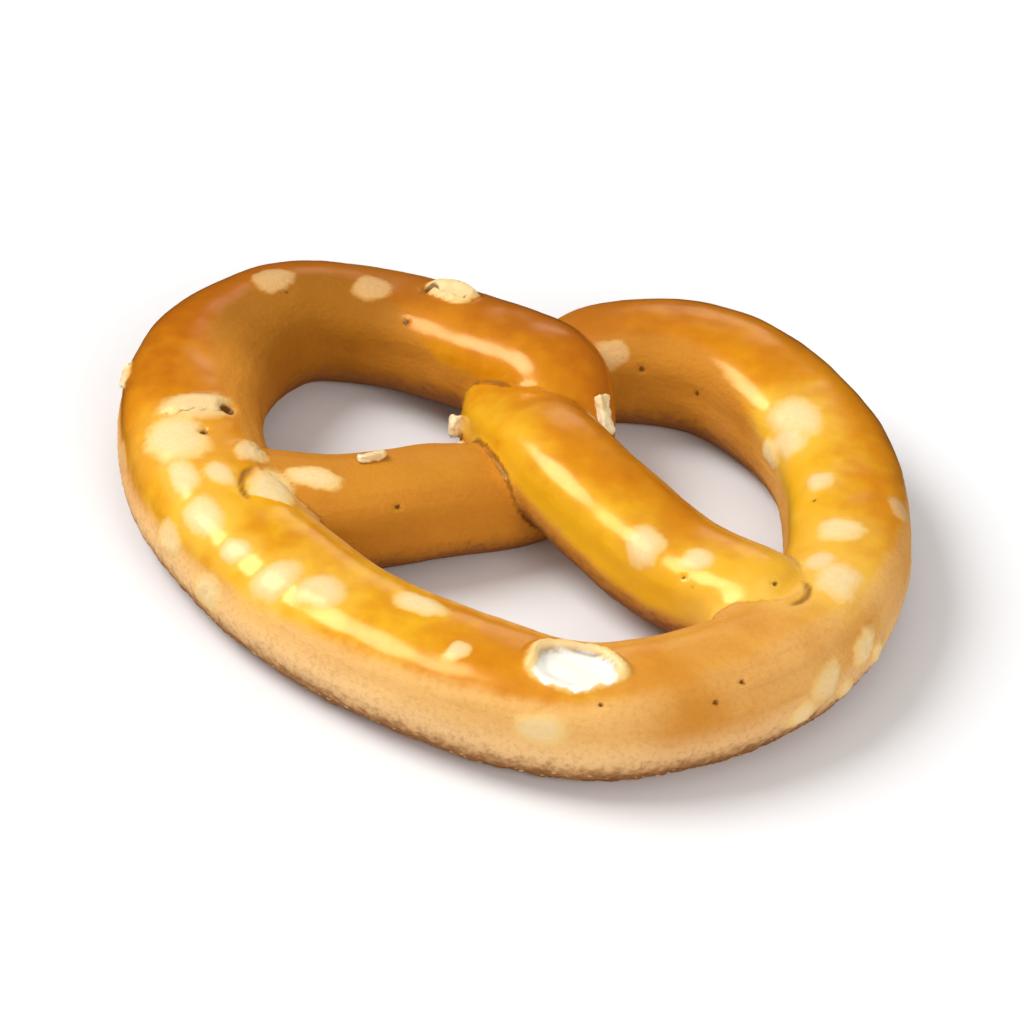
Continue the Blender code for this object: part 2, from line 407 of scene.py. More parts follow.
PATCHES = (
    Patch("left arm foot, low", 1.00, 50, 2.4, 3.0, 0.30),
    Patch("left arm foot, high", 1.55, 80, 3.0, 1.7, 0.28),
    Patch("left lobe, back", 8.15, 98, 2.2, 2.0, 0.24, PatchKind.TAN),
    Patch("left lobe, back corner", 9.20, 82, 2.4, 2.2, 0.24, PatchKind.TAN),
    Patch("left lobe, outer side", 10.60, 22, 2.0, 1.5, 0.22),
    Patch("left flank, wide", 11.55, 66, 3.5, 3.4, 0.26, glow=0.5),
    Patch("left flank, outer side", 11.30, 6, 2.0, 1.6, 0.22, PatchKind.TAN),
    Patch("left flank, beside the arm", 11.78, 126, 1.8, 1.9, 0.30, PatchKind.FLAKE),
    Patch("left flank, run", 11.90, 57, 2.8, 1.5, 0.20, glow=0.9),
    Patch("left flank, small", 11.98, 86, 2.0, 1.3, 0.22, glow=0.8),
    Patch("belly left, upper", 12.24, 50, 2.8, 2.1, 0.24, glow=0.9),
    Patch("belly left, edge", 12.12, 14, 2.4, 1.7, 0.22, PatchKind.FLAKE),
    Patch("belly left, small", 12.55, 48, 1.7, 1.5, 0.24, glow=0.9),
    Patch("belly left, round", 12.85, 50, 2.2, 2.6, 0.30, glow=0.8),
    Patch("belly left, low side", 12.50, 2, 2.3, 2.2, 0.22, PatchKind.FLAKE),
    Patch("belly left, heart", 13.10, 64, 2.5, 2.3, 0.30, glow=0.6),
    Patch("belly, inner edge", 13.58, 106, 2.8, 1.8, 0.24),
    Patch("belly, small", 13.97, 66, 1.3, 1.2, 0.26),
    Patch("belly, low side", 14.62, 20, 2.7, 1.9, 0.14, PatchKind.FAINT),
    Patch("belly right, low flake", 16.20, -6, 1.9, 1.4, 0.40, PatchKind.FLAKE),
    Patch("belly right, flake", 16.40, 13, 2.3, 2.2, 0.50, PatchKind.FLAKE),
    Patch("belly right, flake's corner", 16.60, -9, 1.3, 1.2, 0.40, PatchKind.FLAKE),
    Patch("belly right, upper flake", 16.80, 18, 2.1, 2.0, 0.50, PatchKind.FLAKE),
    Patch("belly right, last flake", 16.96, -2, 1.2, 1.2, 0.40, PatchKind.FLAKE),
    Patch("right flank, square", 17.06, 80, 2.8, 2.4, 0.28, squareness=4.5, glow=0.6),
    Patch("right flank, beside the arm", 17.22, 108, 1.7, 1.6, 0.10, PatchKind.FAINT, glow=0.7),
    Patch("right flank", 17.62, 100, 1.9, 2.3, 0.26, squareness=3.0, glow=0.6),
    Patch("right lobe, outer side", 18.00, 44, 1.8, 1.3, 0.22, PatchKind.TAN),
    Patch("right lobe, small", 18.20, 122, 1.6, 1.3, 0.22, glow=0.6),
    Patch("right lobe, inner side", 18.98, 122, 3.4, 2.5, 0.22, glow=0.7),
    Patch("right lobe, middle", 18.78, 138, 2.2, 2.0, 0.20, glow=0.7),
    Patch("right lobe, edge of the hole", 18.88, 160, 1.8, 1.5, 0.45, glow=0.4),
    Patch("right lobe root", 21.10, 132, 1.7, 1.8, 0.24, PatchKind.TAN),
    Patch("right arm", 25.88, 47, 2.2, 2.1, 0.26, glow=0.3),
    Patch("right arm, small", 26.42, 62, 1.7, 1.5, 0.24, glow=0.4),
)


class BlisterKind(Enum):
    """What is left of a blister: an open white crater, a pitted ring or a cracked dome."""

    CRATER = "crater"
    RING = "ring"
    CRACKED = "cracked"


@dataclass(frozen=True)
class Blister:
    """A burst blister, with its length, width and rise in millimetres."""

    name: str
    place: float
    angle: float
    length: float
    width: float
    rise: float
    kind: BlisterKind


BLISTERS = (
    Blister("belly, large and white", 14.77, 86, 5.2, 3.5, 0.50, BlisterKind.CRATER),
    Blister("left lobe, back edge", 7.48, 72, 3.2, 2.0, 0.42, BlisterKind.RING),
    Blister("left flank, cracked", 11.24, 92, 2.3, 4.2, 0.32, BlisterKind.CRACKED),
)


@dataclass(frozen=True)
class Pore:
    """A pinhole in the skin, with its radius and depth in millimetres."""

    place: float
    angle: float
    radius: float = 0.16
    depth: float = 0.16


PORES = (
    Pore(15.80, 45),
    Pore(15.60, 35),
    Pore(14.95, 45, 0.13),
    Pore(15.65, 80, 0.10),
    Pore(20.75, 150),
    Pore(19.95, 165, 0.13),
    Pore(27.40, 80),
    Pore(18.00, 128, 0.12),
    Pore(26.40, 38, 0.11),
    Pore(26.52, 34, 0.10),
    Pore(7.60, 135, 0.18),
    Pore(2.35, 40),
    Pore(9.20, 105, 0.13),
    Pore(11.25, 118, 0.40, 0.50),
    Pore(11.52, 92, 0.24, 0.35),
    Pore(7.64, 76, 0.40, 0.45),
    Pore(7.36, 78, 0.27, 0.40),
)


@dataclass(frozen=True)
class Fold:
    """A curved fold in the skin round one side of a spot, with its radius and width in millimetres.

    The facing is the direction, in degrees from along the strand towards its left-hand side, in which
    the middle of the fold lies from the spot.
    """

    name: str
    place: float
    angle: float
    radius: float
    facing: float
    half_sweep: float
    width: float = 0.22
    depth: float = 0.08


FOLDS = (
    Fold("round the left arm's foot", 1.00, 56, 1.55, 180, 70),
    Fold("round the right arm's tip", 27.50, 80, 1.40, 15, 75),
)


@dataclass(frozen=True)
class GlazeRow:
    """How the skin looks at one place: where it is glossy, how much so, and its tones.

    Gloss is from 0 to 1, and low and high are the angles between which the skin is glossy. Depth runs
    from golden, at 0, to deep amber, at 1, and is a brighter gold below 0. Tilt is how much deeper it
    is at the left-hand side of the strand. It is partly the crust's own tone and partly painted light
    and shade, with one side brighter as it faces the light and the other deeper as it turns from it.
    Toast is the tone of the matt skin beside the glossy band, and runs from pale, at 0, to brown, at 2.
    """

    place: float
    gloss: float
    low: float
    high: float
    depth: float
    toast: float
    tilt: float = 0.0


GLAZE = (
    GlazeRow(0.0, 0.10, 50, 110, 0.30, 1.10, 0.00),
    GlazeRow(3.0, 0.12, 60, 115, 0.35, 1.15, 0.00),
    GlazeRow(4.5, 0.50, 30, 150, 0.60, 1.20, 0.00),
    GlazeRow(5.5, 0.95, 25, 150, 0.64, 1.20, -0.55),
    GlazeRow(6.0, 0.95, 25, 160, 0.84, 1.35, -0.65),
    GlazeRow(6.6, 0.92, 35, 168, 0.93, 1.30, -0.70),
    GlazeRow(7.2, 0.85, 40, 162, 0.90, 1.35, -0.60),
    # At the left lobe, the deep amber and the brown toast are partly the crust's own tone and partly painted
    # shade on its top and inner side
    GlazeRow(7.7, 0.60, 48, 125, 0.98, 1.60, -0.30),
    GlazeRow(8.2, 0.50, 55, 88, 1.05, 1.90, 0.00),
    GlazeRow(9.0, 0.75, 40, 78, 1.10, 1.95, 0.00),
    GlazeRow(10.0, 1.00, 15, 86, 1.00, 1.65, 0.00),
    GlazeRow(11.0, 1.00, 12, 118, 0.68, 1.00, 0.10),
    GlazeRow(12.0, 1.00, 14, 130, 0.38, 0.50, 0.00),
    GlazeRow(12.7, 1.00, 24, 135, 0.28, 0.30, 0.00),
    GlazeRow(13.3, 1.00, 32, 135, 0.34, 0.15, 0.00),
    GlazeRow(14.0, 1.00, 38, 130, 0.50, 0.05, 0.00),
    GlazeRow(14.8, 0.95, 42, 130, 0.55, 0.20, 0.00),
    GlazeRow(15.4, 0.45, 60, 130, 0.50, 0.70, 0.00),
    GlazeRow(16.3, 0.30, 70, 130, 0.35, 0.55, 0.00),
    GlazeRow(17.0, 0.65, 58, 150, 0.18, 0.45, -0.30),
    GlazeRow(18.0, 0.95, 38, 165, 0.30, 0.55, -0.45),
    GlazeRow(19.0, 1.00, 22, 160, 0.38, 0.70, -0.45),
    GlazeRow(20.0, 1.00, 22, 124, 0.70, 1.10, -0.20),
    GlazeRow(21.0, 0.65, 45, 112, 0.98, 1.40, 0.00),
    GlazeRow(22.0, 0.50, 40, 140, 0.95, 1.50, 0.00),
    GlazeRow(23.0, 0.90, 0, 150, 0.45, 0.90, 0.40),
    GlazeRow(24.0, 0.95, 5, 150, 0.64, 0.90, 0.60),
    GlazeRow(26.0, 1.00, -5, 135, 0.58, 0.65, 0.50),
    GlazeRow(27.2, 0.85, -5, 130, 0.05, 0.40, 0.60),
    GlazeRow(28.0, 0.50, 20, 120, 0.45, 0.50, 0.10),
)


@dataclass(frozen=True)
class SoftJoin:
    """A place where the dough of two passes has flowed together, within a reach in millimetres."""

    name: str
    place: float
    angle: float
    reach: float


SOFT_JOINS = (
    SoftJoin("right arm's foot into the belly", 27.1, -5, 3.0),
    SoftJoin("left arm's foot into the flank", 0.9, -5, 2.6),
)


def smooth_step(values: np.ndarray, low: float, high: float) -> np.ndarray:
    """0 at low and 1 at high, with a smooth change between them."""
    share = np.clip((values - low) / (high - low), 0.0, 1.0)
    return share * share * (3 - 2 * share)


# Nodes


class NodeSketch:
    """Adds nodes to one tree and joins them, so that a pattern reads like a formula."""

    def __init__(self, tree: bpy.types.NodeTree) -> None:
        """Starts a sketch on a tree."""
        self.tree = tree

    def node(
        self, kind: str, inputs: dict[str | int, Source] | None = None, **settings: object
    ) -> bpy.types.Node:
        """Adds a node.

        Args:
            kind: The node's type.
            inputs: What each input gets, by name or by number.
            settings: The node's own settings.

        Returns:
            The new node.
        """
        made = self.tree.nodes.new(kind)
        for name, value in settings.items():
            setattr(made, name, value)
        for key, source in (inputs or {}).items():
            self.feed(made.inputs[key], source)
        return made

    def feed(self, socket: bpy.types.NodeSocket, source: Source) -> None:
        """Links a socket to another one, or sets its value.

        Args:
            socket: The socket that is fed.
            source: Another socket, or a plain value.
        """
        if isinstance(source, bpy.types.NodeSocket):
            self.tree.links.new(source, socket)
        else:
            socket.default_value = source

    def math(self, operation: str, *operands: Source) -> bpy.types.NodeSocket:
        """The result of a mathematical operation."""
        made = self.node("ShaderNodeMath", dict(enumerate(operands)), operation=operation)
        return made.outputs[0]

    def total(self, *terms: Source) -> bpy.types.NodeSocket:
        """The sum of several values."""
        return reduce(partial(self.math, "ADD"), terms)

    def product(self, *terms: Source) -> bpy.types.NodeSocket:
        """The product of several values."""
        return reduce(partial(self.math, "MULTIPLY"), terms)

    def swing(self, value: Source, amount: Source) -> bpy.types.NodeSocket:
        """A value from 0 to 1 made to run from minus half an amount to plus half of it."""
        return self.product(self.math("SUBTRACT", value, 0.5), amount)

    def fade(self, value: Source, low: Source, high: Source) -> bpy.types.NodeSocket:
        """0 where a value is at low, 1 where it is at high, with a smooth change between."""
        inputs = {"Value": value, "From Min": low, "From Max": high}
        return self.node("ShaderNodeMapRange", inputs, interpolation_type="SMOOTHSTEP").outputs[0]

    def between(self, share: Source, low: Source, high: Source) -> bpy.types.NodeSocket:
        """A number between two others, by a share."""
        return self.node("ShaderNodeMix", {0: share, 2: low, 3: high}, data_type="FLOAT").outputs[0]

    def blend(self, share: Source, low: Source, high: Source) -> bpy.types.NodeSocket:
        """A colour between two others, by a share."""
        ends = [(*end, 1.0) if isinstance(end, tuple) else end for end in (low, high)]
        return self.node("ShaderNodeMix", {0: share, 6: ends[0], 7: ends[1]}, data_type="RGBA").outputs[2]

    def stretch(self, vector: Source, factors: tuple[float, float, float]) -> bpy.types.NodeSocket:
        """A vector with each part multiplied by a factor."""
        return self.node("ShaderNodeVectorMath", {0: vector, 1: factors}, operation="MULTIPLY").outputs[0]

    def noise(
        self, vector: Source, size: Source, detail: float = 2.0, roughness: float = 0.5
    ) -> bpy.types.NodeSocket:
        """Adds smooth noise.

        Args:
            vector: The coordinates, in millimetres.
            size: About how large its lumps are, in millimetres.
            detail: How many finer layers it has.
            roughness: How strong they are.

        Returns:
            The noise, from 0 to 1.
        """
        scale = self.math("DIVIDE", 1.0, size)
        inputs = {"Vector": vector, "Scale": scale, "Detail": detail, "Roughness": roughness}
        return self.node("ShaderNodeTexNoise", inputs).outputs[0]


def new_tree(
    name: str,
    kind: str,
    inputs: Sequence[tuple[str, str, Source | None]],
    outputs: Sequence[tuple[str, str]],
) -> tuple[NodeSketch, bpy.types.NodeOutputs, bpy.types.Node]:
    """Starts a node group with named sockets.

    Args:
        name: The group's name.
        kind: GeometryNodeTree or ShaderNodeTree.
        inputs: Each input's name, socket type and starting value.
        outputs: Each output's name and socket type.

    Returns:
        A sketch on the group, the sockets that its inputs come in by, and its output node.
    """
    tree = bpy.data.node_groups.new(name, kind)
    for label, socket_type, value in inputs:
        socket = tree.interface.new_socket(name=label, in_out="INPUT", socket_type=socket_type)
        if value is not None:
            socket.default_value = value
    for label, socket_type in outputs:
        tree.interface.new_socket(name=label, in_out="OUTPUT", socket_type=socket_type)
    sketch = NodeSketch(tree)
    return sketch, sketch.node("NodeGroupInput").outputs, sketch.node("NodeGroupOutput")


FLOAT = "NodeSocketFloat"
GEOMETRY = "NodeSocketGeometry"
MATERIAL = "NodeSocketMaterial"
OBJECT = "NodeSocketObject"


def geometry_tree(
    name: str, inputs: Sequence[tuple[str, str, Source | None]]
) -> tuple[NodeSketch, bpy.types.NodeOutputs, bpy.types.Node]:
    """Starts a Geometry Nodes group that takes and gives geometry."""
    ends = [("Geometry", GEOMETRY, None), ("Material", MATERIAL, None)]
    return new_tree(name, "GeometryNodeTree", [*ends, *inputs], [("Geometry", GEOMETRY)])


def close_tree(sketch: NodeSketch, given: bpy.types.NodeOutputs, end: bpy.types.Node, shape: Source) -> None:
    """Ends a Geometry Nodes group: real geometry, smooth shading and the material.

    Args:
        sketch: The sketch on the group.
        given: The sockets that its inputs come in by.
        end: Its output node.
        shape: The geometry that it has made.
    """
    real = sketch.node("GeometryNodeRealizeInstances", {0: shape})
    smooth = sketch.node("GeometryNodeSetShadeSmooth", {"Geometry": real.outputs[0]})
    inputs = {"Geometry": smooth.outputs[0], "Material": given["Material"]}
    dressed = sketch.node("GeometryNodeSetMaterial", inputs)
    sketch.feed(end.inputs["Geometry"], dressed.outputs[0])


def attribute_in_geometry(sketch: NodeSketch, name: str, data_type: str = "FLOAT") -> bpy.types.NodeSocket:
    """A point attribute's value in a Geometry Nodes tree."""
    made = sketch.node("GeometryNodeInputNamedAttribute", {"Name": name}, data_type=data_type)
    return made.outputs["Attribute"]


def place_in_geometry(sketch: NodeSketch) -> bpy.types.NodeSocket:
    """A point's place in millimetres in a Geometry Nodes tree."""
    return sketch.stretch(sketch.node("GeometryNodeInputPosition").outputs[0], TO_MILLIMETRES)


def push_out(
    sketch: NodeSketch, shape: bpy.types.NodeSocket, rise: bpy.types.NodeSocket
) -> bpy.types.NodeSocket:
    """Moves geometry along its normals.

    Args:
        sketch: The sketch on the group.
        shape: The geometry.
        rise: How far each point moves, in metres.

    Returns:
        The moved geometry.
    """
    normal = sketch.node("GeometryNodeInputNormal").outputs[0]
    offset = sketch.node("ShaderNodeVectorMath", {0: normal, "Scale": rise}, operation="SCALE").outputs[0]
    return sketch.node("GeometryNodeSetPosition", {"Geometry": shape, "Offset": offset}).outputs[0]


def run_tree(item: bpy.types.Object, tree: bpy.types.NodeTree, values: dict[str, object]) -> None:
    """Runs a Geometry Nodes tree on an object and leaves the plain mesh that comes out.

    Args:
        item: A mesh object at the origin.
        tree: The tree.
        values: The value of each named input.
    """
    step = item.modifiers.new(tree.name, "NODES")
    step.node_group = tree
    for socket in tree.interface.items_tree:
        if socket.in_out == "INPUT" and socket.name in values:
            step[socket.identifier] = values[socket.name]
    apply_modifiers(item)


def apply_modifiers(item: bpy.types.Object) -> None:
    """Replaces an object's mesh by what its modifiers make of it, and removes them.

    Args:
        item: A mesh object at the origin.
    """
    depsgraph = bpy.context.evaluated_depsgraph_get()
    result = bpy.data.meshes.new_from_object(
        item.evaluated_get(depsgraph), preserve_all_data_layers=True, depsgraph=depsgraph
    )
    item.modifiers.clear()
    old = item.data
    item.data = result
    result.name = item.name
    bpy.data.meshes.remove(old)


def new_piece(
    name: str, points: Sequence[Sequence[float]], edges: Sequence[tuple[int, int]] = ()
) -> bpy.types.Object:
    """Makes a mesh object at the origin.

    Args:
        name: Its name.
        points: Its points, in metres.
        edges: Pairs of the numbers of points that an edge joins.

    Returns:
        The object.
    """
    mesh = bpy.data.meshes.new(name)
    mesh.from_pydata([tuple(point) for point in points], list(edges), [])
    piece = bpy.data.objects.new(name, mesh)
    bpy.context.scene.collection.objects.link(piece)
    return piece


def points_of(mesh: bpy.types.Mesh) -> np.ndarray:
    """Reads a mesh's points.

    Args:
        mesh: The mesh.

    Returns:
        The points, one a row, in metres.
    """
    flat = np.empty(len(mesh.vertices) * 3, np.float32)
    mesh.vertices.foreach_get("co", flat)
    return flat.reshape(-1, 3).astype(float)


def set_points(mesh: bpy.types.Mesh, points: np.ndarray) -> None:
    """Moves a mesh's points."""
    mesh.vertices.foreach_set("co", points.astype(np.float32).ravel())
    mesh.update()


def store(mesh: bpy.types.Mesh, name: str, values: np.ndarray) -> None:
    """Keeps a number or a vector for each point of a mesh.

    Args:
        mesh: The mesh.
        name: The attribute's name.
        values: One value or one row for each point.
    """
    kind, key = ("FLOAT_VECTOR", "vector") if values.ndim == 2 else ("FLOAT", "value")
    kept = mesh.attributes.new(name, kind, "POINT")
    kept.data.foreach_set(key, values.astype(np.float32).ravel())


# Shader groups that more than one finish uses

NOISE_RANGE = (0.3, 0.7)  # where nearly all of the noise lies


def ragged_edge_group() -> bpy.types.NodeTree:
    """Builds a mask with an uneven edge: 1 where a field is above its edge, and 0 below it.

    Returns:
        The group.
    """
    sockets = [
        ("Field", FLOAT, 0.0),
        ("Edge", FLOAT, 0.0),
        ("Softness", FLOAT, 0.2),
        ("Raggedness", FLOAT, 0.2),
        ("Grain Size", FLOAT, 0.5),
        ("Coordinates", "NodeSocketVector", None),
    ]
    sketch, given, end = new_tree("Ragged Edge", "ShaderNodeTree", sockets, [("Mask", FLOAT)])
    rough = sketch.noise(given["Coordinates"], given["Grain Size"], detail=3.0, roughness=0.6)
    wander = sketch.product(sketch.swing(rough, 2.0), given["Raggedness"])
    field_now = sketch.total(given["Field"], wander)
    low = sketch.math("SUBTRACT", given["Edge"], given["Softness"])
    high = sketch.math("ADD", given["Edge"], given["Softness"])
    sketch.feed(end.inputs["Mask"], sketch.fade(field_now, low, high))
    return sketch.tree


def baked_speckle_group() -> bpy.types.NodeTree:
    """Builds fine uneven specks and broad clouds, as the oven leaves on dough, from 0 to 1.

    Returns:
        The group.
    """
    sockets = [
        ("Coordinates", "NodeSocketVector", None),
        ("Speck Size", FLOAT, 0.3),
        ("Cloud Size", FLOAT, 4.0),
    ]
    outputs = [("Specks", FLOAT), ("Clouds", FLOAT)]
    sketch, given, end = new_tree("Baked Speckle", "ShaderNodeTree", sockets, outputs)
    specks = sketch.noise(given["Coordinates"], given["Speck Size"], detail=3.0, roughness=0.65)
    clouds = sketch.noise(given["Coordinates"], given["Cloud Size"], detail=2.0, roughness=0.5)
    sketch.feed(end.inputs["Specks"], sketch.fade(specks, *NOISE_RANGE))
    sketch.feed(end.inputs["Clouds"], sketch.fade(clouds, *NOISE_RANGE))
    return sketch.tree


@dataclass(frozen=True)
class EffectGroups:
    """The shader groups, built once and placed in each material with its own values."""

    ragged_edge: bpy.types.NodeTree = field(default_factory=ragged_edge_group)
    baked_speckle: bpy.types.NodeTree = field(default_factory=baked_speckle_group)


@dataclass(frozen=True)
class Edge:
    """An uneven edge: where in a field it lies, how soft and ragged it is, and its grain's size."""

    place: float
    softness: float
    raggedness: float
    grain_size: float


class MaterialSketch(NodeSketch):
    """A sketch on a new material, with its shader and the coordinates that patterns read."""

    def __init__(self, name: str, groups: EffectGroups) -> None:
        """Makes the material, with object coordinates in millimetres.

        Args:
            name: The material's name.
            groups: The shader groups that it may use.
        """
        self.material = bpy.data.materials.new(name)
        self.material.use_nodes = True
        super().__init__(self.material.node_tree)
        self.groups = groups
        self.shader = self.tree.nodes["Principled BSDF"]
        position = self.node("ShaderNodeTexCoord").outputs["Object"]
        self.place = self.stretch(position, TO_MILLIMETRES)

    def attribute(self, name: str, output: str = "Fac") -> bpy.types.NodeSocket:
        """A point attribute of the piece."""
        return self.node("ShaderNodeAttribute", attribute_name=name).outputs[output]

    def ragged(self, field_value: Source, edge: Edge) -> bpy.types.NodeSocket:
        """Places the Ragged Edge group.

        Args:
            field_value: The field that the edge cuts.
            edge: The edge.

        Returns:
            The group's mask.
        """
        inputs = {
            "Field": field_value,
            "Edge": edge.place,
            "Softness": edge.softness,
            "Raggedness": edge.raggedness,
            "Grain Size": edge.grain_size,
            "Coordinates": self.place,
        }
        return self.group(self.groups.ragged_edge, inputs)["Mask"]

    def speckle(self, speck_size: float, cloud_size: float) -> bpy.types.NodeOutputs:
        """The Baked Speckle group's outputs."""
        inputs = {"Coordinates": self.place, "Speck Size": speck_size, "Cloud Size": cloud_size}
        return self.group(self.groups.baked_speckle, inputs)

    def group(self, tree: bpy.types.NodeTree, inputs: dict[str, Source]) -> bpy.types.NodeOutputs:
        """Places a shader group.

        Args:
            tree: The group.
            inputs: What each input gets, by name.

        Returns:
            Its outputs.
        """
        made = self.tree.nodes.new("ShaderNodeGroup")
        made.node_tree = tree
        for name, source in inputs.items():
            self.feed(made.inputs[name], source)
        return made.outputs

    def bump(self, height: Source, depth: float) -> None:
        """Feeds the shader's normal with a height in units of depth, in metres."""
        made = self.node("ShaderNodeBump", {"Height": height, "Distance": depth, "Strength": 1.0})
        self.feed(self.shader.inputs["Normal"], made.outputs[0])


# Finishes


@dataclass(frozen=True)
class CrustFinish:
    """The baked crust: glossy amber over the top, matt and streaked at the sides, pale patches, and painted
    light and shade.

    Sizes are in millimetres. A share is how much of the colour under it a mark hides at most.
    """

    # The brightest gold shows where the depth is lowest, and there it is partly painted highlight on sides
    # that face the light
    bright_gold: Colour = (0.93, 0.60, 0.09)
    golden: Colour = (0.84, 0.43, 0.010)
    amber: Colour = (0.66, 0.23, 0.001)
    deep_amber: Colour = (0.46, 0.12, 0.0)
    pale_side: Colour = (0.84, 0.47, 0.15)
    orange_side: Colour = (0.58, 0.22, 0.020)
    # Brown matt skin: partly toasting and partly painted shade, at the left lobe's inner side and where the
    # sides turn under
    brown_side: Colour = (0.33, 0.115, 0.007)
    dark_streak: Colour = (0.38, 0.15, 0.020)
    crumbly_edge: Colour = (0.88, 0.60, 0.31)
    cream: Colour = (0.87, 0.67, 0.34)
    patch_edge: Colour = (0.88, 0.58, 0.19)
    # The golden skin round some patches: partly the crust's own gold and partly painted highlight
    patch_halo_and_highlight: Colour = (0.92, 0.56, 0.08)
    # Painted shade for the patches that lie in shade, and a little random dullness on the rest
    dull_and_shaded_patch: Colour = (0.54, 0.27, 0.09)
    crater_white: Colour = (0.88, 0.85, 0.76)
    # Painted shade inside the pinholes, pits and cracks
    pinhole: Colour = (0.17, 0.06, 0.008)
    # Painted shade in the creases where passes of the strand meet, in the folds and under the crater's rim
    crease: Colour = (0.25, 0.085, 0.006)
    toasted_sole: Colour = (0.34, 0.14, 0.030)
    # Dark rim where the sides turn under: partly toasting and partly painted contact shade
    burnt_rim_and_contact_shade: Colour = (0.27, 0.100, 0.030)
    gloss_roughness: float = 0.34
    matt_roughness: float = 0.65
    speckled_roughness: float = 0.10
    shine: float = 0.10
    gloss_coat: float = 1.0
    coat_roughness: float = 0.21
    patch_dullness: float = 0.6  # how much of its shine a patch loses
    speck_size: float = 0.28
    cloud_size: float = 5.0
    cloudiness: float = 0.22
    mottle_size: float = 1.1
    mottling: float = 0.45
    gold_depths: tuple[float, float] = (-0.45, 0.10)
    amber_depths: tuple[float, float] = (0.10, 0.60)
    deep_depths: tuple[float, float] = (0.50, 1.05)
    toast_drift: float = 0.30
    streak_size: float = 0.7
    streak_range: tuple[float, float] = (0.52, 0.80)
    streak_share: float = 0.22
    crumbly_range: tuple[float, float] = (0.10, 0.55)
    crumbly_share: float = 0.60
    grain_range: tuple[float, float] = (0.45, 1.0)
    grain_shares: tuple[float, float] = (0.14, 0.24)  # high up on the side, and low down
    browned_and_shaded_range: tuple[float, float] = (0.35, 0.80)
    browned_and_shaded_share: float = 0.50
    burnt_rim_and_shade_share: float = 0.85
    patch_share: float = 0.92
    patch_mottling: float = 0.22
    cream_range: tuple[float, float] = (0.05, 0.60)
    halo_and_highlight_share: float = 0.45
    sole_share: float = 0.85
    crease_shade_share: float = 0.85
    gloss_edge: Edge = Edge(0.0, 0.45, 0.35, 1.1)
    burnt_rim_and_shade_edge: Edge = Edge(0.63, 0.17, 0.36, 0.5)
    patch_rim: Edge = Edge(0.05, 0.18, 0.22, 0.6)
    sole_edge: Edge = Edge(0.5, 0.25, 0.30, 1.6)
    crater_edge: Edge = Edge(0.0, 0.08, 0.16, 0.6)
    crease_shade_edge: Edge = Edge(0.5, 0.35, 0.15, 0.7)
    pinhole_shade_edge: Edge = Edge(0.0, 0.06, 0.05, 0.3)
    relief: float = 0.06 * MM
    gloss_evenness: float = 0.85
    groove_size: float = 0.4
    groove_height: float = 0.8
    matt_grit: float = 0.25
    patch_grit: float = 0.12
    gloss_grit: float = 0.04
    peel_size: float = 0.9
    peel_height: float = 0.5

    def material(self, groups: EffectGroups) -> bpy.types.Material:
        """Builds the material.

        Args:
            groups: The shader groups.

        Returns:
            The material.
        """
        sketch = MaterialSketch("baked_crust", groups)
        gloss = self.gloss_mask(sketch)
        speckle = sketch.speckle(self.speck_size, self.cloud_size)
        colour = self.side_colour(sketch, speckle)
        colour = sketch.blend(gloss, colour, self.amber_colour(sketch, speckle))
        patch, colour = self.with_patches(sketch, speckle, colour)
        colour = self.with_marks(sketch, speckle, colour)
        sketch.feed(sketch.shader.inputs["Base Color"], colour)
        lasting = sketch.math("SUBTRACT", 1.0, sketch.product(patch, self.patch_dullness))
        shine = sketch.product(gloss, lasting)
        roughness = sketch.between(shine, self.matt_roughness, self.gloss_roughness)
        uneven = sketch.swing(speckle["Specks"], self.speckled_roughness)
        sketch.feed(sketch.shader.inputs["Roughness"], sketch.total(roughness, uneven))
        sketch.feed(sketch.shader.inputs["Coat Weight"], sketch.product(shine, self.gloss_coat))
        sketch.shader.inputs["Coat Roughness"].default_value = self.coat_roughness
        sketch.shader.inputs["Specular IOR Level"].default_value = self.shine
        sketch.bump(self.height(sketch, speckle, gloss, patch), self.relief)
        return sketch.material

    def gloss_mask(self, sketch: MaterialSketch) -> bpy.types.NodeSocket:
        """Where the skin is glossy amber."""
        band = sketch.ragged(sketch.attribute("glaze"), self.gloss_edge)
        return sketch.product(band, sketch.attribute("gloss"))

    def amber_colour(self, sketch: MaterialSketch, speckle: bpy.types.NodeOutputs) -> bpy.types.NodeSocket:
        """Mixes the glossy skin's colour, from golden to deep amber.

        Args:
            sketch: The sketch on the material.
            speckle: The specks and clouds.

        Returns:
            The colour.
        """
        clouds = sketch.swing(speckle["Clouds"], self.cloudiness)
        mottling = sketch.swing(sketch.noise(sketch.place, self.mottle_size), self.mottling)
        # The depth holds painted light and shade from the tilt as well as the crust's own tone
        depth = sketch.total(sketch.attribute("depth"), clouds, mottling)
        gold = sketch.blend(sketch.fade(depth, *self.gold_depths), self.bright_gold, self.golden)
        light = sketch.blend(sketch.fade(depth, *self.amber_depths), gold, self.amber)
        return sketch.blend(sketch.fade(depth, *self.deep_depths), light, self.deep_amber)

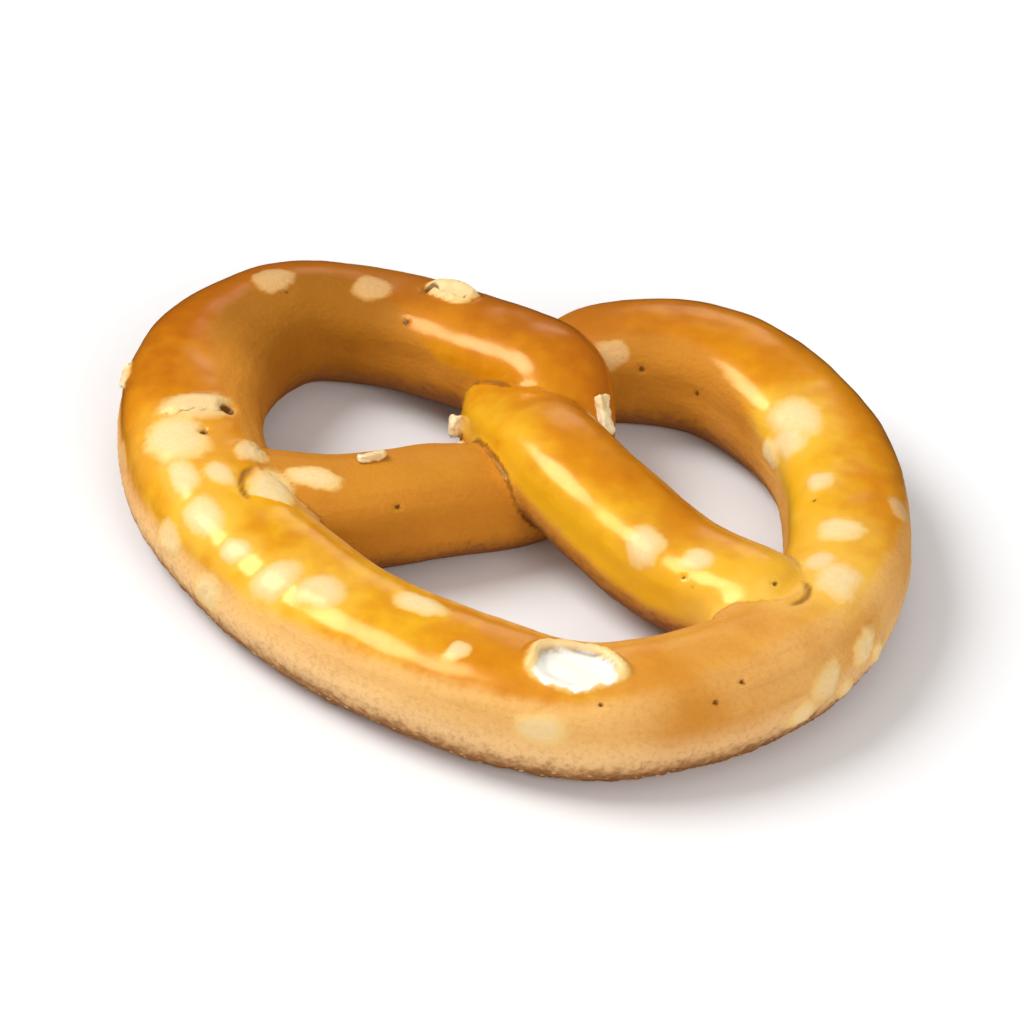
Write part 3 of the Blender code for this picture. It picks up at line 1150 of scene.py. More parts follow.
    def side_colour(self, sketch: MaterialSketch, speckle: bpy.types.NodeOutputs) -> bpy.types.NodeSocket:
        """Mixes the matt skin's colour, pale and crumbly low down, browned and burnt where it turns under,
        partly toasting and partly painted contact shade.

        Args:
            sketch: The sketch on the material.
            speckle: The specks and clouds.

        Returns:
            The colour.
        """
        toast = sketch.total(sketch.attribute("toast"), sketch.swing(speckle["Clouds"], self.toast_drift))
        pale = sketch.blend(sketch.fade(toast, 0.0, 1.0), self.pale_side, self.orange_side)
        base = sketch.blend(sketch.fade(toast, 1.0, 2.0), pale, self.brown_side)
        streaks = sketch.fade(self.streaks(sketch, self.streak_size), *self.streak_range)
        streaked = sketch.blend(sketch.product(streaks, self.streak_share), base, self.dark_streak)
        low = sketch.fade(sketch.attribute("low_edge"), *self.crumbly_range)
        crumbly = sketch.blend(sketch.product(low, self.crumbly_share), streaked, self.crumbly_edge)
        grain = sketch.fade(speckle["Specks"], *self.grain_range)
        grain = sketch.product(grain, sketch.between(low, *self.grain_shares))
        grained = sketch.blend(grain, crumbly, self.dark_streak)
        # Browning and burnt rim where the sides turn under: partly toasting and partly painted contact shade
        under = sketch.attribute("under_edge")
        browning_and_shade = sketch.product(sketch.fade(under, *self.browned_and_shaded_range), self.browned_and_shaded_share)
        browned_and_shaded = sketch.blend(browning_and_shade, grained, self.brown_side)
        burning_and_shade = sketch.product(sketch.ragged(under, self.burnt_rim_and_shade_edge), self.burnt_rim_and_shade_share)
        return sketch.blend(burning_and_shade, browned_and_shaded, self.burnt_rim_and_contact_shade)

    def streaks(self, sketch: MaterialSketch, size: float) -> bpy.types.NodeSocket:
        """Noise that is drawn out along the strand."""
        lengthwise = sketch.stretch(sketch.attribute("strand_round", "Vector"), ALONG_STRAND)
        return sketch.noise(lengthwise, size, detail=3.0, roughness=0.55)

    def with_patches(
        self, sketch: MaterialSketch, speckle: bpy.types.NodeOutputs, colour: bpy.types.NodeSocket
    ) -> tuple[bpy.types.NodeSocket, bpy.types.NodeSocket]:
        """Adds the pale patches that salt grains leave.

        Args:
            sketch: The sketch on the material.
            speckle: The specks and clouds.
            colour: The skin's colour.

        Returns:
            The patches' mask, and the colour with them.
        """
        field_value = sketch.attribute("patch")
        paleness = sketch.attribute("paleness")
        # Painted highlight, partly: a golden halo round the patches that lie where the light gleams
        glow = sketch.product(sketch.attribute("glow"), self.halo_and_highlight_share)
        with_halo_and_highlight = sketch.blend(glow, colour, self.patch_halo_and_highlight)
        patch = sketch.ragged(field_value, self.patch_rim)
        fresh = sketch.blend(sketch.fade(field_value, *self.cream_range), self.patch_edge, self.cream)
        # Painted shade: low paleness darkens the patches that lie in shade, and a little at random on the
        # rest
        pale = sketch.blend(paleness, self.dull_and_shaded_patch, fresh)
        specks = sketch.product(speckle["Specks"], self.patch_mottling)
        mottled = sketch.blend(specks, pale, self.pale_side)
        return patch, sketch.blend(sketch.product(patch, self.patch_share), with_halo_and_highlight, mottled)

    def with_marks(
        self, sketch: MaterialSketch, speckle: bpy.types.NodeOutputs, colour: bpy.types.NodeSocket
    ) -> bpy.types.NodeSocket:
        """Adds the toasted sole, the crater's white, and painted shade in the creases, cracks and pinholes.

        Args:
            sketch: The sketch on the material.
            speckle: The specks and clouds.
            colour: The skin's colour.

        Returns:
            The colour with them.
        """
        sole = sketch.ragged(sketch.attribute("sole"), self.sole_edge)
        toasted = sketch.blend(speckle["Clouds"], self.toasted_sole, self.orange_side)
        colour = sketch.blend(sketch.product(sole, self.sole_share), colour, toasted)
        crater = sketch.ragged(sketch.attribute("crater"), self.crater_edge)
        colour = sketch.blend(crater, colour, self.crater_white)
        # Painted shade in the creases, folds and under the crater's rim
        crease = sketch.ragged(sketch.attribute("crease"), self.crease_shade_edge)
        colour = sketch.blend(sketch.product(crease, self.crease_shade_share), colour, self.crease)
        # Painted shade in the pinholes, pits and the crack
        hole = sketch.ragged(sketch.attribute("hole"), self.pinhole_shade_edge)
        return sketch.blend(hole, colour, self.pinhole)

    def height(
        self,
        sketch: MaterialSketch,
        speckle: bpy.types.NodeOutputs,
        gloss: bpy.types.NodeSocket,
        patch: bpy.types.NodeSocket,
    ) -> bpy.types.NodeSocket:
        """Adds up the fine relief: grooves and grit on the matt skin, orange peel on all of it.

        Args:
            sketch: The sketch on the material.
            speckle: The specks and clouds.
            gloss: Where the skin is glossy.
            patch: Where it has pale patches.

        Returns:
            The height.
        """
        matt = sketch.math("SUBTRACT", 1.0, sketch.product(gloss, self.gloss_evenness))
        grooves = sketch.product(self.streaks(sketch, self.groove_size), matt, self.groove_height)
        matt_grit = sketch.product(matt, self.matt_grit)
        patch_grit = sketch.product(patch, self.patch_grit)
        grit = sketch.product(speckle["Specks"], sketch.total(matt_grit, patch_grit, self.gloss_grit))
        peel = sketch.product(sketch.noise(sketch.place, self.peel_size), self.peel_height)
        return sketch.total(grooves, grit, peel)


@dataclass(frozen=True)
class SaltFinish:
    """Cloudy salt crystals, paler where they are chipped. Sizes are in millimetres."""

    clear: Colour = (0.82, 0.60, 0.28)
    chipped: Colour = (0.89, 0.74, 0.46)
    roughness: float = 0.38
    frosted_roughness: float = 0.63
    speck_size: float = 0.22
    cloud_size: float = 0.9
    chip_edge: Edge = Edge(0.5, 0.3, 0.3, 0.4)
    relief: float = 0.03 * MM

    def material(self, groups: EffectGroups) -> bpy.types.Material:
        """Builds the material.

        Args:
            groups: The shader groups.

        Returns:
            The material.
        """
        sketch = MaterialSketch("salt_grain", groups)
        speckle = sketch.speckle(self.speck_size, self.cloud_size)
        chips = sketch.ragged(speckle["Clouds"], self.chip_edge)
        sketch.feed(sketch.shader.inputs["Base Color"], sketch.blend(chips, self.clear, self.chipped))
        frosted = sketch.between(speckle["Specks"], self.roughness, self.frosted_roughness)
        sketch.feed(sketch.shader.inputs["Roughness"], frosted)
        sketch.bump(speckle["Specks"], self.relief)
        return sketch.material


@dataclass(frozen=True)
class CrumbFinish:
    """Loose scraps of dry crust. Sizes are in millimetres."""

    pale: Colour = (0.66, 0.40, 0.17)
    toasted: Colour = (0.40, 0.17, 0.045)
    roughness: float = 0.7
    speck_size: float = 0.2
    cloud_size: float = 1.6
    toast_edge: Edge = Edge(0.5, 0.2, 0.2, 0.5)
    relief: float = 0.03 * MM

    def material(self, groups: EffectGroups) -> bpy.types.Material:
        """Builds the material.

        Args:
            groups: The shader groups.

        Returns:
            The material.
        """
        sketch = MaterialSketch("crust_crumb", groups)
        speckle = sketch.speckle(self.speck_size, self.cloud_size)
        toast = sketch.ragged(speckle["Clouds"], self.toast_edge)
        sketch.feed(sketch.shader.inputs["Base Color"], sketch.blend(toast, self.pale, self.toasted))
        sketch.shader.inputs["Roughness"].default_value = self.roughness
        sketch.bump(speckle["Specks"], self.relief)
        return sketch.material


@dataclass(frozen=True)
class FloorFinish:
    """A plain matt white tabletop."""

    white: Colour = (0.86, 0.86, 0.87)
    roughness: float = 0.75

    def material(self) -> bpy.types.Material:
        """Builds the material.

        Returns:
            The material.
        """
        made = bpy.data.materials.new("white_tabletop")
        made.use_nodes = True
        shader = made.node_tree.nodes["Principled BSDF"]
        shader.inputs["Base Color"].default_value = (*self.white, 1.0)
        shader.inputs["Roughness"].default_value = self.roughness
        return made


# The crust

HALF_WAY = 0.5  # the share of the way to the middle of its neighbours that a point moves in a round
WELD = 0.001 * MM  # points that are nearer than this to each other are joined


@dataclass
class PretzelCrust:
    """The whole crust in one skin: the strand swept along its route, closed up and given relief."""

    strand: Strand
    material: bpy.types.Material
    profile_points: int = 48
    ring_step: float = 0.35 * MM
    tip_rings: int = 12
    voxel: float = 0.215 * MM
    smoothing_rounds: int = 4
    join_rounds: int = 60
    join_smoothing: float = 0.6
    hollow_rounds: int = 10
    seed: int = 11
    unevenness: float = 0.14 * MM
    lump_size: float = 4.5
    groove_depth: float = 0.045 * MM
    groove_size: float = 0.45
    crumble_depth: float = 0.20 * MM
    crumble_size: float = 0.55

    def build(self) -> bpy.types.Object:
        """Makes the crust.

        Returns:
            One closed mesh at the origin.
        """
        piece = self.swept_strand("pretzel_crust")
        self.close_up(piece)
        self.smooth(piece)
        self.mark_skin(piece)
        self.add_relief(piece)
        return piece

    def swept_strand(self, name: str) -> bpy.types.Object:
        """Sweeps the section along the route with Geometry Nodes.

        Args:
            name: The new object's name.

        Returns:
            The object.
        """
        strand = self.strand
        places = self.ring_places()
        route = strand.at(places)[:, :3]
        piece = new_piece(name, route, [(ring, ring + 1) for ring in range(len(route) - 1)])
        store(piece.data, "half_width", strand.half_width_at(places))
        angles = (np.arange(self.profile_points) + 0.5) * 2 * math.pi / self.profile_points
        radii = strand.profile_radius(angles)
        flat = np.zeros(len(angles))
        outline = np.stack([radii * np.cos(angles), radii * np.sin(angles), flat], axis=1)
        ends = [(side, (side + 1) % len(angles)) for side in range(len(angles))]
        profile = new_piece("strand_section", outline, ends)
        run_tree(piece, sweep_tree(), {"Section": profile, "Material": self.material})
        bpy.data.objects.remove(profile)
        return piece

    def ring_places(self) -> np.ndarray:
        """Spaces the rings evenly along the strand, and closer at its round tips.

        Returns:
            The rings' places.
        """
        strand = self.strand
        fine = np.linspace(0.0, strand.last_place, 4000)
        middles = strand.at(fine)[:, :3]
        travelled = np.concatenate([[0.0], np.cumsum(np.linalg.norm(np.diff(middles, axis=0), axis=1))])
        count = int(travelled[-1] / self.ring_step)
        even = np.interp(np.linspace(0, travelled[-1], count), travelled, fine)
        tip = 1 - np.cos(np.linspace(0.04, math.pi / 2, self.tip_rings))
        middle = even[(even > 1) & (even < strand.last_place - 1)]
        return np.concatenate([tip, middle, strand.last_place - tip[::-1]])

    def close_up(self, piece: bpy.types.Object) -> None:
        """Fuses the passes of the strand into one skin of even faces.

        Args:
            piece: The swept strand.
        """
        step = piece.modifiers.new("one skin", "REMESH")
        step.mode = "VOXEL"
        step.voxel_size = self.voxel
        apply_modifiers(piece)

    def smooth(self, piece: bpy.types.Object) -> None:
        """Evens out the skin, more so where two passes flow together, and flattens the sole.

        Args:
            piece: The crust.
        """
        points = points_of(piece.data)
        weights = np.full(len(points), HALF_WAY)
        points = relaxed(piece.data, points, weights, self.smoothing_rounds)
        weights = np.zeros(len(points))
        for join in SOFT_JOINS:
            centre = self.strand.spot(join.place, join.angle).centre
            away = np.linalg.norm(points - centre, axis=1) / MM
            near = smooth_step(-away, -join.reach, -join.reach / 2)
            weights = np.maximum(weights, self.join_smoothing * near)
        points = relaxed(piece.data, points, weights, self.join_rounds)
        points[:, 2] = np.maximum(points[:, 2], 0.0)
        set_points(piece.data, points)

    def mark_skin(self, piece: bpy.types.Object) -> None:
        """Stores, for each point, what the skin is like there.

        Args:
            piece: The crust.
        """
        points = points_of(piece.data)
        found = StrandFinder(self.strand).find(points)
        hollow = hollowness(piece.data, points, self.hollow_rounds)
        marks = SkinMarks(self.strand, points, found, hollow, random.Random(self.seed))
        for name, values in marks.fields().items():
            store(piece.data, name, values)

    def add_relief(self, piece: bpy.types.Object) -> None:
        """Raises and lowers the skin with Geometry Nodes, from what is stored on it.

        Args:
            piece: The crust.
        """
        values = {
            "Material": self.material,
            "Unevenness": self.unevenness,
            "Lump Size": self.lump_size,
            "Groove Depth": self.groove_depth,
            "Groove Size": self.groove_size,
            "Crumble Depth": self.crumble_depth,
            "Crumble Size": self.crumble_size,
        }
        run_tree(piece, relief_tree(), values)


def relaxed(mesh: bpy.types.Mesh, points: np.ndarray, weights: np.ndarray, rounds: int) -> np.ndarray:
    """Moves points towards the middle of their neighbours.

    Args:
        mesh: The mesh whose edges join the points.
        points: The points, one a row.
        weights: The share of the way that each point moves in a round.
        rounds: How many rounds.

    Returns:
        The moved points.
    """
    ends = np.empty(len(mesh.edges) * 2, np.int32)
    mesh.edges.foreach_get("vertices", ends)
    ends = ends.reshape(-1, 2)
    ends = ends[(weights[ends] > 0).any(axis=1)]
    start = np.concatenate([ends[:, 0], ends[:, 1]])
    end = np.concatenate([ends[:, 1], ends[:, 0]])
    count = np.maximum(np.bincount(start, minlength=len(points)), 1)
    moved = points.copy()
    for _ in range(rounds):
        middles = [np.bincount(start, moved[end, axis], len(points)) / count for axis in range(3)]
        moved += (np.stack(middles, axis=1) - moved) * weights[:, None]
    return moved


def hollowness(mesh: bpy.types.Mesh, points: np.ndarray, rounds: int) -> np.ndarray:
    """How far smoothing would lift each point out of a hollow, in millimetres.

    Args:
        mesh: The mesh, with its normals.
        points: Its points, one a row.
        rounds: How many rounds of smoothing to try.

    Returns:
        The rise of each point, which is below zero on a ridge.
    """
    flat = np.empty(len(points) * 3, np.float32)
    mesh.vertices.foreach_get("normal", flat)
    lift = relaxed(mesh, points, np.full(len(points), HALF_WAY), rounds) - points
    return (lift * flat.reshape(-1, 3)).sum(axis=1) / MM


def sweep_tree() -> bpy.types.NodeTree:
    """Builds the tree that sweeps a section along a line, as wide as the line says.

    Returns:
        The Geometry Nodes tree.
    """
    sketch, given, end = geometry_tree("Strand Sweep", [("Section", OBJECT, None)])
    line = sketch.node("GeometryNodeMeshToCurve", {"Mesh": given["Geometry"]})
    level = sketch.node("GeometryNodeSetCurveNormal", {"Curve": line.outputs[0]}, mode="Z_UP")
    section = sketch.node("GeometryNodeObjectInfo", {"Object": given["Section"]})
    outline = sketch.node("GeometryNodeMeshToCurve", {"Mesh": section.outputs["Geometry"]})
    inputs = {
        "Curve": level.outputs[0],
        "Profile Curve": outline.outputs[0],
        "Scale": attribute_in_geometry(sketch, "half_width"),
        "Fill Caps": True,
    }
    swept = sketch.node("GeometryNodeCurveToMesh", inputs)
    inputs = {"Geometry": swept.outputs[0], "Distance": WELD}
    joined = sketch.node("GeometryNodeMergeByDistance", inputs)
    close_tree(sketch, given, end, joined.outputs[0])
    return sketch.tree


def relief_tree() -> bpy.types.NodeTree:
    """Builds the tree that gives the crust its relief and keeps its sole flat.

    Returns:
        The Geometry Nodes tree.
    """
    sizes = ("Unevenness", "Lump Size", "Groove Depth", "Groove Size", "Crumble Depth", "Crumble Size")
    sketch, given, end = geometry_tree("Crust Relief", [(size, FLOAT, 0.0) for size in sizes])
    place = place_in_geometry(sketch)
    lengthwise = sketch.stretch(attribute_in_geometry(sketch, "strand_round", "FLOAT_VECTOR"), ALONG_STRAND)
    band = sketch.fade(attribute_in_geometry(sketch, "glaze"), -0.3, 0.5)
    gloss = sketch.product(band, attribute_in_geometry(sketch, "gloss"))
    matt = sketch.math("SUBTRACT", 1.0, sketch.product(gloss, 0.9))
    lump_noise = sketch.noise(place, given["Lump Size"])
    lumps = sketch.product(sketch.swing(lump_noise, 2.0), given["Unevenness"])
    groove_noise = sketch.noise(lengthwise, given["Groove Size"], detail=2.0)
    grooves = sketch.product(sketch.swing(groove_noise, 2.0), given["Groove Depth"], matt)
    crumble_noise = sketch.noise(place, given["Crumble Size"], detail=2.0, roughness=0.6)
    rough = attribute_in_geometry(sketch, "rough")
    crumble = sketch.product(sketch.swing(crumble_noise, 2.0), given["Crumble Depth"], rough)
    rise = sketch.total(lumps, grooves, crumble, attribute_in_geometry(sketch, "raised"))
    moved = push_out(sketch, given["Geometry"], rise)
    apart = sketch.node("ShaderNodeSeparateXYZ", {0: sketch.node("GeometryNodeInputPosition").outputs[0]})
    level = sketch.math("MAXIMUM", apart.outputs["Z"], 0.0)
    flat = sketch.node("ShaderNodeCombineXYZ", {"X": apart.outputs["X"], "Y": apart.outputs["Y"], "Z": level})
    rested = sketch.node("GeometryNodeSetPosition", {"Geometry": moved, "Position": flat.outputs[0]})
    close_tree(sketch, given, end, rested.outputs[0])
    return sketch.tree


# What each point of the skin is like

SIDE_TOP = 30.0  # the angle on the strand, in degrees, below which its outer side starts
SIDE_SPAN = 80.0  # degrees from there to where the side turns under
LEFT_SIDE_TOP = 180.0 - SIDE_TOP
GLAZE_REACH = 3.0  # how far from its edge, in millimetres, the glossy band is told apart
BAKED_IN_RISE = 0.45  # the share of a grain's rise that is left once it is baked in
BLISTER_STEEPNESS = 2.2  # how fast a blister's pale area rises from its edge


@dataclass(frozen=True)
class BlisterMap:
    """Where each point lies on a blister.

    Radius is 0 in its middle and 1 at its edge. Along and round_it are the ways from its middle along
    the strand and round it, in millimetres.
    """

    radius: np.ndarray
    along: np.ndarray
    round_it: np.ndarray


@dataclass
class SkinMarks:
    """Works out what the crust's skin is like at each of its points."""

    strand: Strand
    points: np.ndarray
    found: StrandPlaces
    hollow: np.ndarray
    dice: random.Random
    raised: np.ndarray = field(init=False)
    patch: np.ndarray = field(init=False)
    paleness: np.ndarray = field(init=False)
    glow: np.ndarray = field(init=False)
    crater: np.ndarray = field(init=False)
    hole: np.ndarray = field(init=False)
    shaded: np.ndarray = field(init=False)
    rough: np.ndarray = field(init=False)

    def __post_init__(self) -> None:
        """Starts with a plain skin."""
        count = len(self.points)
        self.raised = np.zeros(count)
        self.patch = np.full(count, -1.0)
        self.paleness = np.ones(count)
        self.glow = np.zeros(count)
        self.crater = np.full(count, -1.0)
        self.hole = np.full(count, -1.0)
        self.shaded = np.zeros(count)
        self.rough = np.zeros(count)

    def fields(self) -> dict[str, np.ndarray]:
        """Works out every mark.

        Returns:
            The marks by name, with one value or one row for each point.
        """
        found = self.found
        low_edge = self.low_edge()
        self.rough = 0.9 * smooth_step(low_edge, 0.35, 0.80)
        for patch in PATCHES:
            self.press_in(patch)
        for blister in BLISTERS:
            self.burst(blister)
        for pore in PORES:
            self.prick(pore)
        for fold in FOLDS:
            self.fold_in(fold)
        marks = {
            "strand_round": self.strand.round_of(found.distance, found.angle),
            # Painted shade: creases where passes meet, folds and the line under the crater's rim
            "crease": np.maximum(self.crease(), self.shaded),
            "low_edge": low_edge,
            "under_edge": self.under_edge(),
            "sole": smooth_step(-self.points[:, 2] / MM, -0.35, -0.05),
            "raised": self.raised,
            "patch": self.patch,
            "paleness": self.paleness,
            "glow": self.glow,
            "crater": self.crater,
            "hole": self.hole,
            "rough": np.clip(self.rough, 0.0, 1.0),
            "crumbly": 0.6 * smooth_step(low_edge, 0.45, 0.85),
        }
        return marks | self.glaze_tones()

    def glaze_tones(self) -> dict[str, np.ndarray]:
        """Works out where the skin is glossy, and its tones.

        Returns:
            The glossy band's distance to its edge, in millimetres, and each tone, by name.
        """
        found = self.found
        places = [row.place for row in GLAZE]

        def along(name: str) -> np.ndarray:
            """One value of the rows, at each point."""
            return np.interp(found.place, places, [getattr(row, name) for row in GLAZE])

        inside = np.minimum(found.angle - along("low"), along("high") - found.angle)
        reach = np.radians(inside) * self.strand.half_width / MM
        tones = {name: along(name) for name in ("gloss", "depth", "toast")}
        # Painted light and shade, partly: the tilt makes one side of the strand deeper and the other brighter
        tones["depth"] += along("tilt") * np.clip((found.angle - 90) / 90, -1.0, 1.0)
        return {"glaze": np.clip(reach, -GLAZE_REACH, GLAZE_REACH)} | tones

    def low_edge(self) -> np.ndarray:
        """Works out how far down the strand's outer side each point is.

        Returns:
            0 well up on it and 1 where it turns under, and less on the strand inside the loop.
        """
        place = self.found.place
        outside = smooth_step(place, 7.0, 8.5) * smooth_step(-place, -20.5, -19.0)
        return np.clip((SIDE_TOP - self.found.angle) / SIDE_SPAN, 0.0, 1.0) * (0.2 + 0.8 * outside)

    def under_edge(self) -> np.ndarray:
        """How far down either side a point is: 0 well up on it and 1 where it turns under."""
        below = np.maximum(SIDE_TOP - self.found.angle, self.found.angle - LEFT_SIDE_TOP)
        return np.clip(below / SIDE_SPAN, 0.0, 1.0)

    def crease(self) -> np.ndarray:
        """Finds the folds where one pass of the strand meets the next, for the painted shade in them.

        Returns:
            1 in a fold and 0 away from it.
        """
        fold = smooth_step(self.hollow, 0.025, 0.09) * smooth_step(-self.found.gap, -0.9, -0.4)
        for join in SOFT_JOINS:
            centre = self.strand.spot(join.place, join.angle).centre
            away = np.linalg.norm(self.points - centre, axis=1) / MM
            fold = fold * smooth_step(away, join.reach * 0.75, join.reach * 1.1)
        return fold

    def press_in(self, patch: Patch) -> None:
        """Adds a salt grain that has baked into the skin.

        Args:
            patch: The grain's pale patch.
        """
        near = patch.nearness(self.strand, self.points, self.dice)
        self.raised += patch.rise * BAKED_IN_RISE * MM * smooth_step(near, -0.15, 0.6)
        self.add_patch(near, patch.kind.value - self.dice.uniform(0.0, 0.12))
        # The golden halo is partly the crust's own gold and partly painted highlight
        self.glow = np.maximum(self.glow, patch.glow * smooth_step(near, -1.1, -0.05))
        if patch.kind is PatchKind.FLAKE:
            self.rough = np.maximum(self.rough, smooth_step(near, -0.3, 0.1))

    def burst(self, blister: Blister) -> None:
        """Adds a burst blister.

        Args:
            blister: The blister.
        """
        spot = self.strand.spot(blister.place, blister.angle)
        along, round_it, out = spot.offsets(self.points)
        u = along / (blister.length / 2)
        v = round_it / (blister.width / 2)
        turn = np.arctan2(v, u)
        uneven = 1 + 0.05 * np.sin(3 * turn + 1.0) + 0.04 * np.sin(5 * turn + 2.5)
        radius = np.where(np.abs(out) < BLISTER_REACH, np.hypot(u, v) / uneven, FAR)
        shapes = {
            BlisterKind.CRATER: self.open_crater,
            BlisterKind.RING: self.pitted_ring,
            BlisterKind.CRACKED: self.cracked_dome,
        }
        shapes[blister.kind](blister, BlisterMap(radius, along, round_it))

    def open_crater(self, blister: Blister, spread: BlisterMap) -> None:
        """Adds an open crater with a white floor and a rim that stands up on its inner side.

        Args:
            blister: The blister.
            spread: Where each point lies on it.
        """
        radius, along, round_it = spread.radius, spread.along, spread.round_it
        inner = smooth_step(round_it, -0.7, 0.5)
        rim = np.exp(-(((radius - 0.86) / 0.12) ** 2))
        floor = 1 - smooth_step(radius, 0.50, 0.80)
        under_rim = inner * np.exp(-(((radius - 0.70) / 0.08) ** 2))
        self.shaded = np.maximum(self.shaded, 0.60 * under_rim)
        lumps = 0.07 * np.sin(along * 3.1 + 1.0) * np.sin(round_it * 3.7 + 0.6)
        self.raised += MM * (blister.rise * rim * (0.20 + 0.80 * inner) - (0.18 + lumps) * floor)
        wander = 0.05 * np.sin(along * 3.7 + 0.4) + 0.03 * np.sin(along * 8.3)
        edge = 0.72 + (0.20 + wander) * smooth_step(-round_it, 0.1, 0.9)
        self.crater = np.maximum(self.crater, np.clip((edge - radius) * 2.0, -1, 1))
        self.rough = np.maximum(self.rough, 0.25 * floor)
        self.add_patch(BLISTER_STEEPNESS * (1.0 - radius), 1.0)

    def pitted_ring(self, blister: Blister, spread: BlisterMap) -> None:
        """Adds a pale ring round a sunken middle.

        Args:
            blister: The blister.
            spread: Where each point lies on it.
        """
        rim = np.exp(-(((spread.radius - 0.72) / 0.20) ** 2))
        self.raised += MM * blister.rise * rim
        self.add_patch(BLISTER_STEEPNESS * (1.0 - spread.radius), 1.0)

    def cracked_dome(self, blister: Blister, spread: BlisterMap) -> None:
        """Adds a low dome with one jagged crack across it.

        Args:
            blister: The blister.
            spread: Where each point lies on it.
        """
        radius, along, round_it = spread.radius, spread.along, spread.round_it
        self.raised += MM * blister.rise * 0.8 * (1 - smooth_step(radius, 0.45, 1.05))
        jagged = 0.12 * np.sin(round_it * 9.0) + 0.06 * np.sin(round_it * 23.0)
        length = np.abs(round_it + 0.3) < 1.5
        crack = np.where(length & (radius < FAR), 0.05 - np.abs(along - 0.45 - jagged), -1.0)
        # The crack takes painted shade through the hole mark
        self.hole = np.maximum(self.hole, crack)
        self.raised -= 0.10 * MM * smooth_step(crack, -0.15, 0.0)
        self.add_patch(0.98 - radius, 0.85)

    def add_patch(self, near: np.ndarray, paleness: float) -> None:
        """Adds a pale area.

        Args:
            near: For each point, a value that is 0 at the area's edge and more inside it.
            paleness: How pale it is, from 0 to 1.
        """
        stronger = near > self.patch
        self.paleness = np.where(stronger, paleness, self.paleness)
        self.patch = np.maximum(self.patch, near)

    def prick(self, pore: Pore) -> None:
        """Adds a pinhole.

        Args:
            pore: The pinhole.
        """
        along, round_it, out = self.strand.spot(pore.place, pore.angle).offsets(self.points)
        away = np.sqrt(along**2 + round_it**2 + (0.3 * out) ** 2)
        away = np.where(np.abs(out) < PORE_REACH, away, FAR)
        # The hole mark paints shade in the pinhole
        self.hole = np.maximum(self.hole, np.clip(pore.radius - away, -1, 1))
        self.raised -= pore.depth * MM * (1 - smooth_step(away, pore.radius * 0.4, pore.radius * 1.5))

    def fold_in(self, fold: Fold) -> None:
        """Adds a short curved fold.

        Args:
            fold: The fold.
        """
        along, round_it, out = self.strand.spot(fold.place, fold.angle).offsets(self.points)
        turn = np.degrees(np.arctan2(round_it, along)) - fold.facing
        turn = np.abs((turn + 180) % 360 - 180)
        beside = (np.hypot(along, round_it) - fold.radius) / fold.width
        line = np.exp(-(beside**2)) * smooth_step(-turn, -fold.half_sweep, -fold.half_sweep * 0.4)
        line = np.where(np.abs(out) < PORE_REACH, line, 0.0)
        self.shaded = np.maximum(self.shaded, 0.85 * line)
        self.raised -= fold.depth * MM * line


# Salt and crumbs


@dataclass(frozen=True)
class Crystal:
    """A salt grain that still stands on the skin, with its sizes in millimetres and its turn."""

    place: float
    angle: float
    length: float
    width: float
    height: float
    turn: float


@dataclass
class SaltCrystals:
    """The pale salt grains that stand on the skin, each a chipped block."""

    strand: Strand
    material: bpy.types.Material
    sunk: float = 0.35  # share of its height that a grain is sunk in the skin
    chip_depth: float = 0.34 * MM
    chip_size: float = 0.8
    crystals: tuple[Crystal, ...] = (
        Crystal(5.33, 46, 2.2, 0.75, 0.70, 10),
        Crystal(2.30, 110, 1.5, 0.55, 0.35, 0),
        Crystal(23.12, 4, 1.3, 1.1, 0.8, 25),
        Crystal(23.28, -14, 1.0, 0.8, 0.6, -15),
        Crystal(10.60, 22, 1.5, 0.8, 0.4, 5),
    )

    def build(self) -> bpy.types.Object:
        """Makes the grains.

        Returns:
            One mesh of them all.
        """
        spots = [self.strand.spot(crystal.place, crystal.angle) for crystal in self.crystals]
        heights = [crystal.height * (0.5 - self.sunk) * MM for crystal in self.crystals]
        points = [spot.centre + spot.outwards * height for spot, height in zip(spots, heights)]
        piece = new_piece("salt_crystals", points)
        turns = [spot_turn(spot, crystal.turn) for spot, crystal in zip(spots, self.crystals)]
        store(piece.data, "turn", np.array(turns))
        sizes = [(crystal.length, crystal.width, crystal.height) for crystal in self.crystals]
        store(piece.data, "size", np.array(sizes) * MM)
        values = {"Material": self.material, "Chip Depth": self.chip_depth, "Chip Size": self.chip_size}
        run_tree(piece, crystal_tree(), values)
        return piece


def spot_turn(spot: SkinSpot, degrees: float) -> tuple[float, float, float]:
    """Lays a block on the skin.

    Args:
        spot: The spot on the skin that it lies on.
        degrees: Its turn about the skin's own upward direction.

    Returns:
        The block's Euler turn.
    """
    outwards = Vector(spot.outwards)
    lying = outwards.to_track_quat("Z", "Y")
    along = Quaternion(outwards, math.radians(degrees)) @ Vector(spot.along)
    flat = lying.inverted() @ along
    twist = Euler((0.0, 0.0, math.atan2(flat.y, flat.x))).to_quaternion()
    return tuple((lying @ twist).to_euler())


